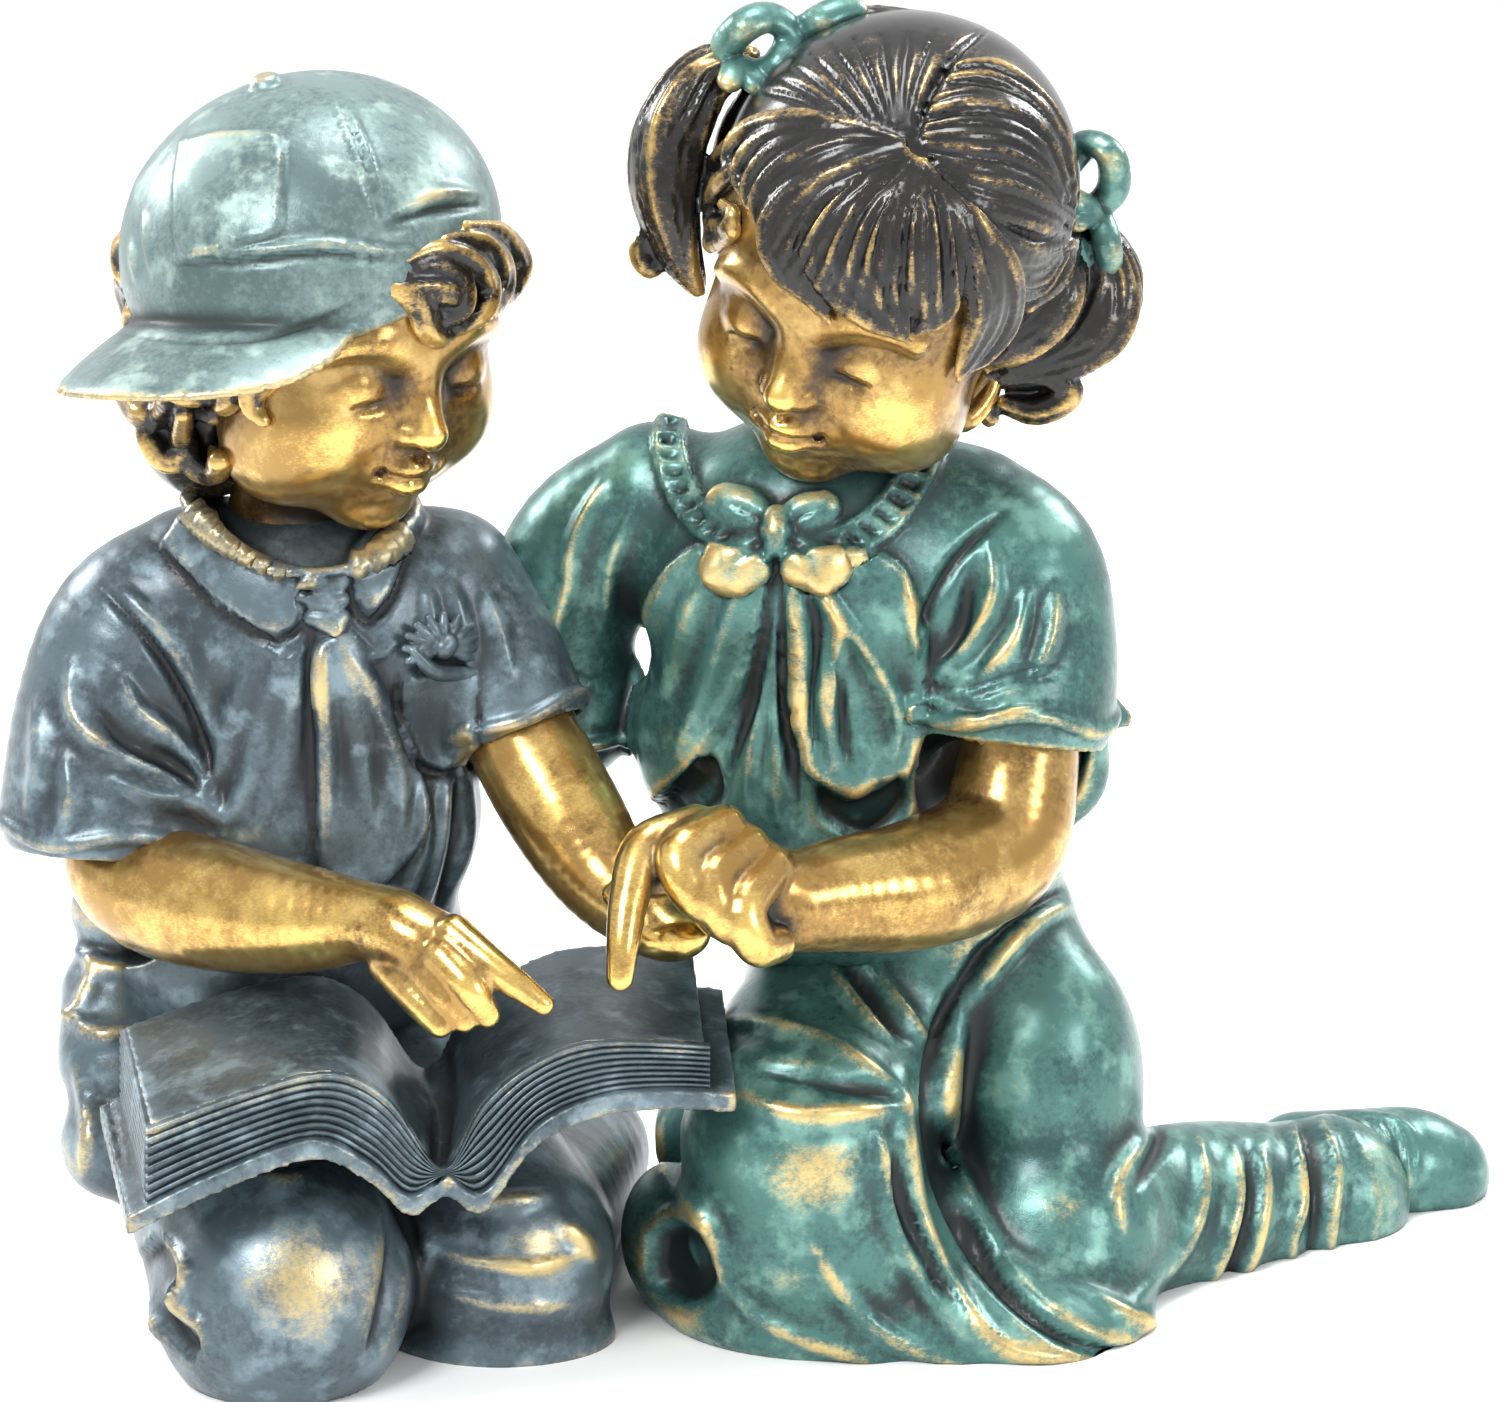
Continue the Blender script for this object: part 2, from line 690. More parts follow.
def finish(name, hollow, dark, coat, bloom, gold, rubbed, reach, mottle, metal, gloss, coat_weight, bump):
    """One material: its own colours and amounts given to the shared coats."""
    material = bpy.data.materials.new(name)
    material.use_nodes = True
    tree = material.node_tree
    shader = tree.nodes["Principled BSDF"]
    coats = add_node(tree, "ShaderNodeGroup", node_tree=COATS)
    for key, value in (("Hollow", hollow), ("Dark", dark), ("Coat", coat), ("Bloom", bloom), ("Gold", gold)):
        coats.inputs[key].default_value = (*value, 1)
    for key, value in (("Rubbed", rubbed), ("Hollow Reach", reach), ("Mottle", mottle), ("Metal", metal),
                       ("Gloss", gloss)):
        coats.inputs[key].default_value = value
    relief = add_node(tree, "ShaderNodeBump", {"Strength": bump, "Distance": 0.0006,
                                               "Height": coats.outputs["Height"]})
    tree.links.new(coats.outputs["Color"], shader.inputs["Base Color"])
    tree.links.new(coats.outputs["Metallic"], shader.inputs["Metallic"])
    tree.links.new(coats.outputs["Roughness"], shader.inputs["Roughness"])
    tree.links.new(relief.outputs[0], shader.inputs["Normal"])
    shader.inputs["Coat Weight"].default_value = coat_weight
    shader.inputs["Coat Roughness"].default_value = 0.22
    shader.inputs["Specular IOR Level"].default_value = 0.35
    return material


SKIN = finish("rubbed gold skin", hollow=(0.012, 0.008, 0.005), dark=(0.12, 0.065, 0.022),
              coat=(0.34, 0.20, 0.055), bloom=(0.50, 0.34, 0.12), gold=(0.86, 0.59, 0.17), rubbed=-0.08,
              reach=0.50, mottle=0.60, metal=0.75, gloss=0.22, coat_weight=0.3, bump=0.10)
HAIR = finish("black bronze hair", hollow=(0.003, 0.003, 0.003), dark=(0.008, 0.008, 0.008),
              coat=(0.018, 0.017, 0.016), bloom=(0.034, 0.036, 0.038), gold=(0.66, 0.43, 0.14), rubbed=0.10,
              reach=0.25, mottle=0.6, metal=0.30, gloss=0.20, coat_weight=0.3, bump=0.08)
SLATE = finish("slate patina cloth", hollow=(0.007, 0.009, 0.011), dark=(0.042, 0.060, 0.072),
               coat=(0.090, 0.125, 0.145), bloom=(0.19, 0.265, 0.305), gold=(0.60, 0.46, 0.20), rubbed=-0.30,
               reach=0.26, mottle=0.5, metal=0.45, gloss=0.32, coat_weight=0.2, bump=0.26)
GREEN = finish("green patina cloth", hollow=(0.005, 0.011, 0.011), dark=(0.026, 0.070, 0.070),
               coat=(0.060, 0.155, 0.140), bloom=(0.16, 0.33, 0.285), gold=(0.72, 0.50, 0.18), rubbed=-0.20,
               reach=0.26, mottle=0.6, metal=0.45, gloss=0.31, coat_weight=0.2, bump=0.22)
CAPCLOTH = finish("verdigris cap cloth", hollow=(0.014, 0.022, 0.022), dark=(0.070, 0.110, 0.112),
                  coat=(0.145, 0.215, 0.21), bloom=(0.31, 0.42, 0.38), gold=(0.62, 0.46, 0.20), rubbed=-0.12,
                  reach=0.25, mottle=0.6, metal=0.40, gloss=0.36, coat_weight=0.15, bump=0.26)
print("finishes:", ", ".join(material.name for material in (SKIN, HAIR, SLATE, GREEN, CAPCLOTH)))

# %% Setting a finished part in the frame

# The wide patch that `broad` compares with: how often the skin is eased to get it, and the height that
# counts as fully proud of it. Bare skin has few folds, so its patch is far wider.
CLOTH_SPREAD = (40, 2.4)
SKIN_SPREAD = (260, 6.0)


def set_in_frame(piece, material, patches=(), spread=CLOTH_SPREAD):
    """Brings a part to its real size and place, gives it its finish and hands it to the frame."""
    note_relief(piece, *(SKIN_SPREAD if material is SKIN else spread), patches)
    points = (vertices(piece) - MIDDLE) * UNIT
    points[:, 2] = np.maximum(points[:, 2], 0)
    set_vertices(piece, points)
    piece.data.materials.clear()
    piece.data.materials.append(material)
    piece.data.shade_smooth()
    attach(piece, "root")
    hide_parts(NODE)
    print(piece.name, "has", sum(len(face.vertices) - 2 for face in piece.data.polygons), "triangles")


# %% [markdown]
# ## The two faces
#
# A face is modelled once, as a calm child's face on the proportions in every drawing book: the eyes half
# way up the head, the nose and mouth close below them, round cheeks. It looks along -Y on a head 100 high.
# Both heads are posed from it. The eyes look down at the book, so the lids are lowered.

# %% A calm child's face


def child_face(clay, ears=(-1, 1)):
    """The skull, cheeks, chin, nose, lips, eyes and ears of a head 100 high."""
    clay.ball((0, 6, 12), (39, 45, 38), blend=1)
    clay.ball((0, -9, -14), (31, 31, 33), blend=14)
    clay.ball((0, -26.5, -40), (10, 8.5, 7.5), blend=10)
    for side in (-1, 1):
        clay.ball((17 * side, -22.5, -20.5), (14.5, 14.5, 14.5), blend=10)
        clay.ball((20 * side, -13, -31), (11, 12, 11), blend=10)
        clay.ball((14.5 * side, -43.5, -4), (9, 6.5, 6), blend=6, scoop=True)
    clay.limb([(0, -36.5, 2, 3.0), (0, -38.2, -5, 3.0), (0, -42.4, -11.5, 3.9), (0, -44.2, -14.4, 4.4)],
              blend=5)
    clay.ball((0, -35.2, -26.5), (10, 5.6, 6.8), blend=6)
    for side in (-1, 1):
        clay.ball((4.2 * side, -40.8, -15.4), (2.9, 3.5, 2.6), blend=1.8)
        clay.ball((2.2 * side, -44.0, -18.6), (1.4, 1.7, 1.2), blend=0.8, scoop=True)
        eye(clay, side)
        clay.limb([(6 * side, -36.6, 4.6, 1.2), (13 * side, -37.0, 7.8, 1.5), (21 * side, -33.8, 6.4, 1.4),
                   (26 * side, -29.8, 2.6, 0.9)], blend=6)
        clay.limb([(7 * side, -37.4, -26.0, 0.9), (3.6 * side, -40.8, -24.8, 1.7),
                   (1.2 * side, -42.0, -24.3, 1.8), (-1.2 * side, -42.0, -24.3, 1.8)], blend=2.2)
        clay.limb([(5.6 * side, -38.2, -28.2, 1.0), (2.6 * side, -40.4, -29.2, 2.0),
                   (-1 * side, -40.9, -29.5, 2.2)], blend=2.2)
    clay.limb([(-7.6, -38.6, -26.3, 0.5), (-3.6, -42.4, -27.0, 0.75), (0, -43.2, -26.8, 0.75),
               (3.6, -42.4, -27.0, 0.75), (7.6, -38.6, -26.3, 0.5)], blend=0.9, scoop=True)
    clay.limb([(0, -42.6, -19.6, 0.4), (0, -43.0, -22.4, 0.5)], blend=1.5, scoop=True)
    for side in (-1, 1):
        clay.ball((8.4 * side, -37.8, -25.8), (0.9, 1.1, 0.9), blend=2.4, scoop=True)
    for side in ears:
        ear(clay, side)


def eye(clay, side):
    """A lowered lid over the ball of the eye: the lid's own ball, an almond slit in it, the eye behind."""
    clay.ball((14.5 * side, -30.2, -5.4), (8.2, 8.4, 8.0), blend=2.0)
    clay.ball((14.5 * side, -39.4, -8.6), (6.6, 3.4, 1.9), turns=(("Y", 6 * side),), blend=0.7, scoop=True)
    clay.ball((14.5 * side, -30.0, -5.6), (7.3, 7.3, 7.3), blend=0.3)
    clay.limb([(7.2 * side, -38.0, -3.0, 0.6), (11 * side, -39.8, 0.6, 0.8), (15 * side, -39.6, 1.6, 0.8),
               (20 * side, -37.0, 0.2, 0.7), (23 * side, -33.6, -3.0, 0.5)], blend=1.6, scoop=True)


def ear(clay, side):
    """A rimmed ear with its bowl, on one side of a head 100 high."""
    clay.ball((37.5 * side, 5, -13), (4.5, 7.5, 11), turns=(("X", -12), ("Z", -24 * side)), blend=2)
    clay.limb([(36 * side, -1.4, -11, 1.4), (40 * side, -0.5, -4, 1.9), (42.2 * side, 4, -1.4, 2.1),
               (43.6 * side, 10, -4, 2.1), (42.6 * side, 10, -12, 1.9), (39.6 * side, 6, -19, 2.2),
               (37.4 * side, 2, -22.5, 2.8)], blend=1.2)
    clay.limb([(39.4 * side, 2, -7, 1.0), (41.4 * side, 7, -8, 1.2), (40.4 * side, 6, -15, 1.0)], blend=1.2)
    clay.ball((42.2 * side, 3.4, -11.5), (3.2, 3.4, 5.4), blend=1.4, scoop=True)


# %% The two heads

# Place, turns and size of each head.
BOY_FACE = (seen(-126, 121, -3), (("Z", 40), ("X", 16)), 1.24)
GIRL_FACE = (seen(38, 133, -4), (("Z", -30), ("X", 17), ("Y", 16)), 1.24)


def posed_face(name, face, ears):
    """A part in clay that starts with a face at its place."""
    clay = Clay(name)
    clay.pose(*face)
    child_face(clay, ears)
    clay.pose()
    return clay


boy_clay = posed_face("boy_head", BOY_FACE, (-1, 1))
boy_clay.limb(route((-132, 82, 6, 21), (-136, 60, 8, 20), (-137, 38, 8, 24)), blend=8)
girl_clay = posed_face("girl_head", GIRL_FACE, ())
girl_clay.limb(route((30, 92, 8, 19), (24, 70, 10, 18), (20, 52, 12, 22)), blend=8)
girl_clay.limb(route((68, 104, 4, 2.6), (73, 97, 6, 3), (69, 88, 2, 3.2), (63, 84, -2, 3.4),
                     (60, 92, -4, 2.6)), blend=2)
boy_head = boy_clay.model(1.45)
girl_head = girl_clay.model(1.45)
set_in_frame(boy_head, SKIN, [(-118, 80, 14, 0.7), (-95, 85, 5, 0.5), (-104, 62, 6, 0.3)])
set_in_frame(girl_head, SKIN, [(-8, 104, 10, 0.7), (7, 92, 6, 0.6), (42, 85, 13, 0.6),
                                            (8, 77, 8, 0.3)])

# %% [markdown]
# ## Hair
#
# Modelled hair isn't single hairs. It is locks, each a thick strand with a few grooves combed along it.
# A lock here is a limb whose radius waves around its way, on the side that faces away from the head. Where
# locks lie side by side, a few guide lines are drawn and the others are spread between them. The girl's
# hair leaves a whorl above the forehead: a fringe falls from it, and the rest is drawn into two bunches.
# The boy's hair is short curls that show below his cap.

# %% Locks over a head


def locks(clay, ground, lines, lift=0.6, comb=(7, 0.12), blend=0.5):
    """Combed locks laid over what they lie on."""
    for line in laid(ground, lines, lift):
        middle = np.array(line)[:, :3].mean(0)
        clay.limb(line, blend=blend, comb=comb, away=tuple(middle + (0, 60, -25)))


def over_ball(centre, radius, directions, thick):
    """Stations of a lock that goes over a ball through some directions, thin at its root."""
    swell = np.interp(np.linspace(0, 1, len(directions)), (0, 0.3, 0.8, 1), (0.6, 1, 1, 0.8))
    return [(*(Vector(centre[:3]) + Vector(direction).normalized() * radius), thick * share)
            for direction, share in zip(directions, swell)]


def between(start, end, shares):
    """Directions spread from one direction to another."""
    first = Vector(start).normalized()
    last = Vector(end).normalized()
    return [first.slerp(last, share) for share in shares]


# %% The girl's hair, drawn into two bunches

HAIR_CAP = (0, 9.5, 17)
HAIR_CAP_RADII = (40.5, 45, 38)
LEFT_TIE = seen(-1, 189, 14)
RIGHT_TIE = seen(95, 148, 18)
GIRL_CROWN = seen(44, 151, 4)
CROWN_RADIUS = 53.0
FRINGE = ((((46, 166), (28, 160), (12, 151), (6, 141), (9, 130), (18, 121), (22, 115)),
           ((47, 165), (31, 159), (18, 149), (13, 138), (16, 128), (22, 121), (23, 115))),
          (((47, 165), (34, 158), (24, 146), (19, 135), (24, 124), (35, 114), (45, 109)),
           ((49, 163), (47, 152), (43, 141), (42, 129), (44, 119), (46, 113), (46, 109))),
          (((49, 163), (50, 152), (49, 141), (49, 130), (51, 121), (52, 115), (50, 111)),
           ((52, 162), (57, 150), (60, 138), (61, 127), (59, 118), (55, 113), (51, 111))),
          (((52, 162), (59, 149), (66, 137), (68, 127), (68, 116), (65, 106), (62, 98)),
           ((53, 161), (64, 148), (74, 136), (78, 126), (77, 114), (71, 104), (64, 98))))
SWEEP = (((46, 168), (28, 173), (10, 174), (-2, 170), (-6, 162), (-3, 154)),
         ((46, 167), (30, 169), (16, 166), (6, 160), (1, 152), (2, 145)),
         ((46, 166), (32, 164), (20, 158), (11, 152), (6, 146), (5, 139)))
DRAWN_BACK = (((60, 191), (74, 190), (86, 181), (93, 170), (95, 158)),
              ((51, 175), (64, 177), (78, 175), (88, 167), (94, 154)),
              ((54, 165), (66, 162), (77, 160), (87, 155), (94, 148)),
              ((60, 155), (70, 148), (80, 145), (88, 142), (94, 141)))
SIDE_HAIR = (((60, 153), (71, 142), (83, 136), (93, 138)), ((73, 128), (79, 122), (87, 124), (92, 132)))
TEMPLE = (((-4, 168), (-13, 161), (-17, 151), (-17, 142), (-11, 137), (-5, 141), (-7, 147)),
          ((-3, 160), (-9, 155), (-12, 149), (-11, 143), (-7, 142), (-5, 146), (-8, 149)))
LEFT_BUNCH = ((-3, 192, 14, 6), (-14, 187, 12, 9), (-22, 174, 9, 11), (-25, 159, 7, 10.5), (-24, 146, 5, 9),
              (-21, 134, 4, 6.5), (-16, 124, 4, 3))
RIGHT_BUNCH = ((96, 143, 20, 6), (104, 136, 18, 8), (108, 124, 15, 10), (104, 112, 12, 10),
               (94, 104, 9, 8.5), (80, 99, 7, 6), (71, 98, 6, 3))
UNDER_BUNCH = ((93, 138, 12, 5), (94, 127, 5, 7.5), (89, 116, 2, 8), (80, 107, 0, 6.5), (72, 103, 0, 4))
BUNCH_ENDS = (((78, 99, 3), (90, 98, 5), (95, 92, 5), (86, 87, 4.5), (76, 89, 3)),
              ((72, 98, 3), (68, 91, 4), (72, 85, 3)),
              ((-29, 142, 2.5), (-33, 135, 3.5), (-30, 130, 3.5), (-25, 133, 2)))


def girl_hair():
    """The drawn hair, the whorl and fringe, the temple lock and the two bunches."""
    clay = Clay("girl_hair")
    clay.ball(GIRL_CROWN, (52, CROWN_RADIUS, 52.5), blend=2)
    clay.pose(*GIRL_FACE)
    clay.ball(HAIR_CAP, HAIR_CAP_RADII, blend=4)
    clay.pose()
    ground = posed_face("ground", GIRL_FACE, ())
    ground.forms += clay.forms
    locks(clay, ground, fan(DRAWN_BACK, 11, (0.8, 2.7, 3.1, 3.0, 2.6), 0.12))
    locks(clay, ground, fan(SIDE_HAIR, 5, (1.0, 2.8, 3.2, 2.8), 0.1), 0.2)
    locks(clay, ground, fan(SWEEP, 6, (1.0, 3.0, 3.6, 3.4, 2.8, 1.6), 0.12), 1.2)
    for clump, count in zip(FRINGE, (3, 5, 3, 4)):
        locks(clay, ground, fan(clump, count, (1.0, 2.8, 3.7, 4.1, 3.9, 2.6, 1.0), 0.12), 2.2)
    locks(clay, ground, [[(*spot, thick) for spot, thick in zip(line, (3, 3.4, 3.4, 3.2, 3, 2.6, 2))]
                         for line in TEMPLE], 1.5)
    left_tie = Vector(LEFT_TIE) - Vector(GIRL_CROWN)
    right_tie = Vector(RIGHT_TIE) - Vector(GIRL_CROWN)
    for step in range(9):
        angle = math.radians(12 + 17 * step)
        for side, tie in ((-1, left_tie), (1, right_tie)):
            parting = (0.22 * math.cos(angle) + 0.05 * side, math.sin(angle), math.cos(angle))
            way = between(parting, tie, (0, 0.3, 0.6, 0.9))
            clay.limb(over_ball(GIRL_CROWN, CROWN_RADIUS - 1, way, 5.0), blend=0.6, comb=(9, 0.12),
                      away=GIRL_CROWN)
    for tie, starts in ((left_tie, ((-0.55, 0.45, -0.75), (-0.8, 0.2, -0.55), (-0.25, 0.75, -0.7))),
                        (right_tie, ((0.35, 0.75, -0.6), (0.65, 0.45, -0.65), (0.8, 0.0, -0.6),
                                     (0.7, -0.45, -0.5)))):
        for start in starts:
            way = between(start, tie, (0, 0.35, 0.7, 0.95))
            clay.limb(over_ball(GIRL_CROWN, CROWN_RADIUS - 1, way, 5.0), blend=0.6, comb=(9, 0.12),
                      away=GIRL_CROWN)
    for stations in (LEFT_BUNCH, RIGHT_BUNCH, UNDER_BUNCH):
        run = route(*stations)
        middle = run[len(run) // 2][:3]
        clay.limb(run, blend=1, comb=(15, 0.14), away=middle)
        core = np.array(run)
        for k in range(5):
            angle = 0.5 + 1.25 * k
            lock = core.copy()
            lock[:, 0] += 0.72 * core[:, 3] * math.cos(angle)
            lock[:, 1] += 0.72 * core[:, 3] * math.sin(angle)
            lock[:, 2] += 0.30 * core[:, 3] * math.sin(2 * angle)
            lock[:, 3] *= 0.40
            clay.limb(lock[:len(lock) - k % 2], blend=0.6, comb=(6, 0.14), away=middle)
    for end in BUNCH_ENDS:
        clay.limb(route(*[(across, up, 6, thick) for across, up, thick in end]), blend=0.8, comb=(6, 0.14),
                  away=seen(80, 95, 40))
    hair = clay.model(1.15)
    fold(hair, [[(50, 169), (53, 180), (58, 189), (64, 196), (72, 202)]], 1.5, -3.0)
    grooves = fan((((26, 175), (14, 181), (4, 183)), ((40, 171), (33, 184), (24, 197)),
                   ((47, 171), (50, 186), (56, 201))), 9, (1, 1))
    grooves += fan((((47, 163), (22, 154), (7, 134)), ((48, 162), (32, 146), (20, 118)),
                    ((50, 161), (45, 141), (43, 112)),
                    ((52, 161), (59, 143), (61, 112)), ((54, 162), (67, 147), (74, 120))), 18, (1, 1))
    fold(hair, [[spot[:2] for spot in line] for line in grooves], 1.1, -1.6)
    return hair


set_in_frame(girl_hair(), HAIR)

# %% The boy's curls

TEMPLE_CURLS = (((-105, 131), (-94, 135), (-84, 132), (-79, 124), (-81, 116), (-89, 111)),
                ((-103, 127), (-95, 130), (-88, 126), (-87, 119), (-92, 115), (-98, 113)),
                ((-92, 138), (-82, 138), (-76, 132), (-75, 124), (-78, 118), (-80, 116)),
                ((-86, 142), (-76, 140), (-70, 132), (-72, 125), (-75, 121), (-77, 119)),
                ((-109, 124), (-104, 123), (-99, 119), (-97, 113), (-94, 109), (-90, 110)))
EAR_CURLS = (((-184, 103), (-178, 98), (-170, 93), (-163, 93), (-159, 96), (-160, 100)),
             ((-154, 106), (-147, 104), (-145, 98), (-149, 93), (-149, 88), (-146, 84)),
             ((-188, 100), (-187, 92), (-182, 86), (-176, 87), (-175, 92), (-179, 94)),
             ((-180, 87), (-180, 79), (-175, 73), (-170, 74), (-169, 79), (-172, 81)),
             ((-170, 86), (-170, 78), (-166, 71), (-161, 69), (-159, 72), (-161, 75)),
             ((-166, 106), (-160, 103), (-157, 98), (-156, 92), (-158, 89), (-162, 90)))
CURL_RADII = (2.8, 4.2, 4.8, 4.5, 3.6, 2.2)


def boy_hair():
    """A shell of hair with the curls that the cap leaves free."""
    clay = Clay("boy_hair")
    clay.pose(*BOY_FACE)
    clay.ball((0, 11, 4), (41, 43, 40), blend=2)
    clay.pose()
    clay.ball(seen(-163, 86, 14), (22, 26, 25), blend=8)
    clay.ball(seen(-88, 125, -6), (12, 9, 11), blend=4)
    clay.ball(seen(-77, 128, 4), (8, 10, 11), blend=4)
    ground = posed_face("ground", BOY_FACE, (-1, 1))
    ground.forms += clay.forms
    locks(clay, ground, [[(-101, 124, 5), (-94, 123.5, 6), (-88, 122, 5)]], 1.2)
    for line in TEMPLE_CURLS + EAR_CURLS:
        locks(clay, ground, [[(*spot, radius) for spot, radius in zip(line, CURL_RADII)]], 1.6, (5, 0.14))
    middle = clay.forms[0].centre
    for row, elevation in enumerate((2, -14, -30, -46)):
        for step in range(10):
            azimuth = math.radians(118 + 21 * step + 9 * (row % 2))
            e = math.radians(elevation)
            out = Vector((math.sin(azimuth) * math.cos(e), -math.cos(azimuth) * math.cos(e), math.sin(e)))
            side = Vector((0, 0, 1)).cross(out).normalized()
            up = out.cross(side)
            spin = (-1) ** (step + row)
            stations = []
            for i in range(6):
                angle = spin * (0.6 + 0.85 * i)
                wide = 9.0 * (1.1 - 0.17 * i)
                aside = (side * math.cos(angle) + up * math.sin(angle)) * wide
                spot = Vector(middle) + out * (50 + 0.5 * i) + aside
                stations.append((*spot, CURL_RADII[i] * 1.3))
            clay.limb(stations, blend=0.6, comb=(6, 0.14), away=tuple(middle))
    return clay.model(1.4)


set_in_frame(boy_hair(), HAIR)

# %% [markdown]
# ## The cap
#
# A baseball cap of felt, worn sideways: panels over a round crown, a button on top, a stiff brim with
# rows of stitching. Its front patch stays bare. The crown is a ball with a ball scooped out below, the
# brim a flat ball arched over its length. Seams and the patch's edge are drawn on it as folds.

# %% The boy's cap


def boy_cap():
    """The crown, button and brim, then the seams, the bare patch and the stitching."""
    clay = Clay("boy_cap")
    clay.pose((-128, -5, 326), (("Y", -14), ("X", 5), ("Z", -42)))
    clay.ball((0, 0, 3), (56, 57, 49.5), blend=1)
    clay.ball((0, 0, -28), (64, 64, 26), blend=2, scoop=True)
    clay.ball((0, 0, 53), (5, 5, 3), blend=1.0)
    clay.ball((0, -48.5, -2), (49, 44.5, 4.5), turns=(("X", 7),), blend=3.0, arch=0.0048)
    cap = clay.model(1.5)
    fold(cap, [[(-126, 183), (-119, 167), (-114, 152), (-112, 144)],
               [(-122.5, 181), (-115.5, 166), (-110.5, 150)]], 1.2, 1.4)
    fold(cap, [[(-124, 182), (-117, 166), (-112, 150)]], 0.9, -0.8)
    panel(cap, [(-171, 168), (-156, 170), (-142, 170), (-141, 156), (-142, 141), (-156, 137), (-170, 134),
                (-173, 150)], 1.3, 1.5)
    fold(cap, [[(-171, 168), (-156, 170), (-142, 170)], [(-142, 170), (-141, 156), (-142, 141)],
               [(-142, 141), (-156, 137), (-170, 134)]], 1.1, 0.9)
    fold(cap, [[(-172, 134), (-150, 135), (-128, 137), (-108, 135), (-96, 136)]], 1.6, 1.8)
    fold(cap, [[(-174, 130.5), (-150, 131.5), (-128, 134), (-106, 132)]], 1.1, -1.6)
    fold(cap, [[(-108, 143), (-95, 148), (-80, 149)]], 2.4, -2.2)
    fold(cap, [[(-104, 147), (-93, 152), (-82, 152)]], 2.4, 1.6)
    fold(cap, [[(-186, 150), (-182, 162), (-176, 170)], [(-182, 146), (-180, 130)],
               [(-186, 138), (-184, 126)]], 1.2, 1.2)
    fold(cap, [[(-196, 111), (-170, 108), (-146, 109), (-124, 117), (-108, 129)]], 1.0, -1.0)
    return cap


set_in_frame(boy_cap(), CAPCLOTH)

# %% [markdown]
# ## Arms and hands
#
# The bare forearms come out of wide sleeves. Fingers are limbs with a swelling at each joint, so that a
# closed hand shows its ridges.

# %% The four arms


def finger(clay, *stations):
    """A finger or thumb through its joints, each with its place in the view, its depth and its radius."""
    clay.limb(route(*stations), blend=1.4)


def boy_arms():
    """The boy's arm with the hand over the page, and the other down to the book."""
    clay = Clay("boy_arms")
    clay.limb(route((-191, -36, -2, 17), (-184, -52, -14, 19.5), (-166, -60, -32, 20),
                    (-137, -65, -54, 16.5), (-117, -66, -68, 12), (-108, -68, -74, 12)), blend=4)
    clay.ball(seen(-97, -73, -80), (15, 12, 11), turns=(("Y", 25),), blend=6)
    finger(clay, (-89, -70, -86, 6), (-79, -78, -93, 5), (-70, -85, -97, 4.3), (-62, -91, -99, 3.2))
    for knuckle in (0, 1, 2):
        finger(clay, (-92 - 8 * knuckle, -77 - knuckle, -90 + 5 * knuckle, 6.3),
               (-84 - 7.5 * knuckle, -86 - 2 * knuckle, -97 + 3 * knuckle, 5.2),
               (-79 - 7 * knuckle, -94 - 1.5 * knuckle, -96, 4))
    clay.limb(route((-78, 8, 4, 16), (-69, -10, -2, 17), (-56, -33, -14, 17.5), (-44, -52, -26, 15),
                    (-32, -64, -40, 11.5)), blend=4)
    clay.ball(seen(-24, -70, -48), (12, 10, 8), blend=5)
    return clay.model(1.4)


def girl_arms():
    """The girl's forearm with the bent fingers and the one that points."""
    clay = Clay("girl_arms")
    clay.limb(route((81, 4, 2, 17), (80, -22, -4, 18.5), (73, -44, -14, 20.5), (50, -55, -34, 19.5),
                    (28, -58, -48, 17), (14, -60, -57, 15)), blend=4)
    clay.ball(seen(-3, -56, -62), (17, 14, 17), blend=6)
    for k in (0, 1, 2):
        finger(clay, (-8 + 7 * k, -38 - 6 * k, -62 - 2 * k, 7),
               (-21 + 9.5 * k, -46 - 8 * k, -75 - 3 * k, 7),
               (-16 + 9 * k, -59 - 7 * k, -81 - k, 6.3), (-6 + 7 * k, -63 - 5 * k, -76, 5.6))
    finger(clay, (-16, -38, -60, 7), (-31, -44, -68, 7), (-36, -58, -78, 6), (-38, -72, -86, 5),
           (-39, -83, -90, 4))
    finger(clay, (-20, -52, -60, 7), (-33, -54, -66, 5.5), (-41, -58, -68, 3.5))
    return clay.model(1.4)


set_in_frame(boy_arms(), SKIN, [(-160, -62, 26, 0.5), (-128, -68, 18, 0.4), (-56, -28, 16, 0.5),
                                           (-84, -84, 12, 0.3)])
set_in_frame(girl_arms(), SKIN, [(44, -50, 22, 0.5), (70, -20, 16, 0.3), (4, -60, 10, 0.2)])

# %% [markdown]
# ## The boy's clothes
#
# A loose shirt with wide short sleeves, a flat collar over a knotted kerchief, a pocket and a flower on
# the chest. The trousers are drawn tight over the knees and wrinkle at the hip.

# %% The boy's shirt


def ring(clay, centre, axis, radius, thick, blend=1.0, count=24, waves=(0, 0)):
    """A rolled edge around a sleeve or a leg, with this many waves of this height along the axis."""
    turn = Vector(axis).to_track_quat("Z", "Y").to_matrix()
    stations = []
    for i in range(count + 1):
        angle = 2 * math.pi * i / count
        rise = waves[1] * math.sin(waves[0] * angle + 1)
        spot = turn @ Vector((radius * math.cos(angle), radius * math.sin(angle), rise))
        stations.append((*(Vector(centre[:3]) + spot), thick))
    clay.limb(stations, blend=blend)


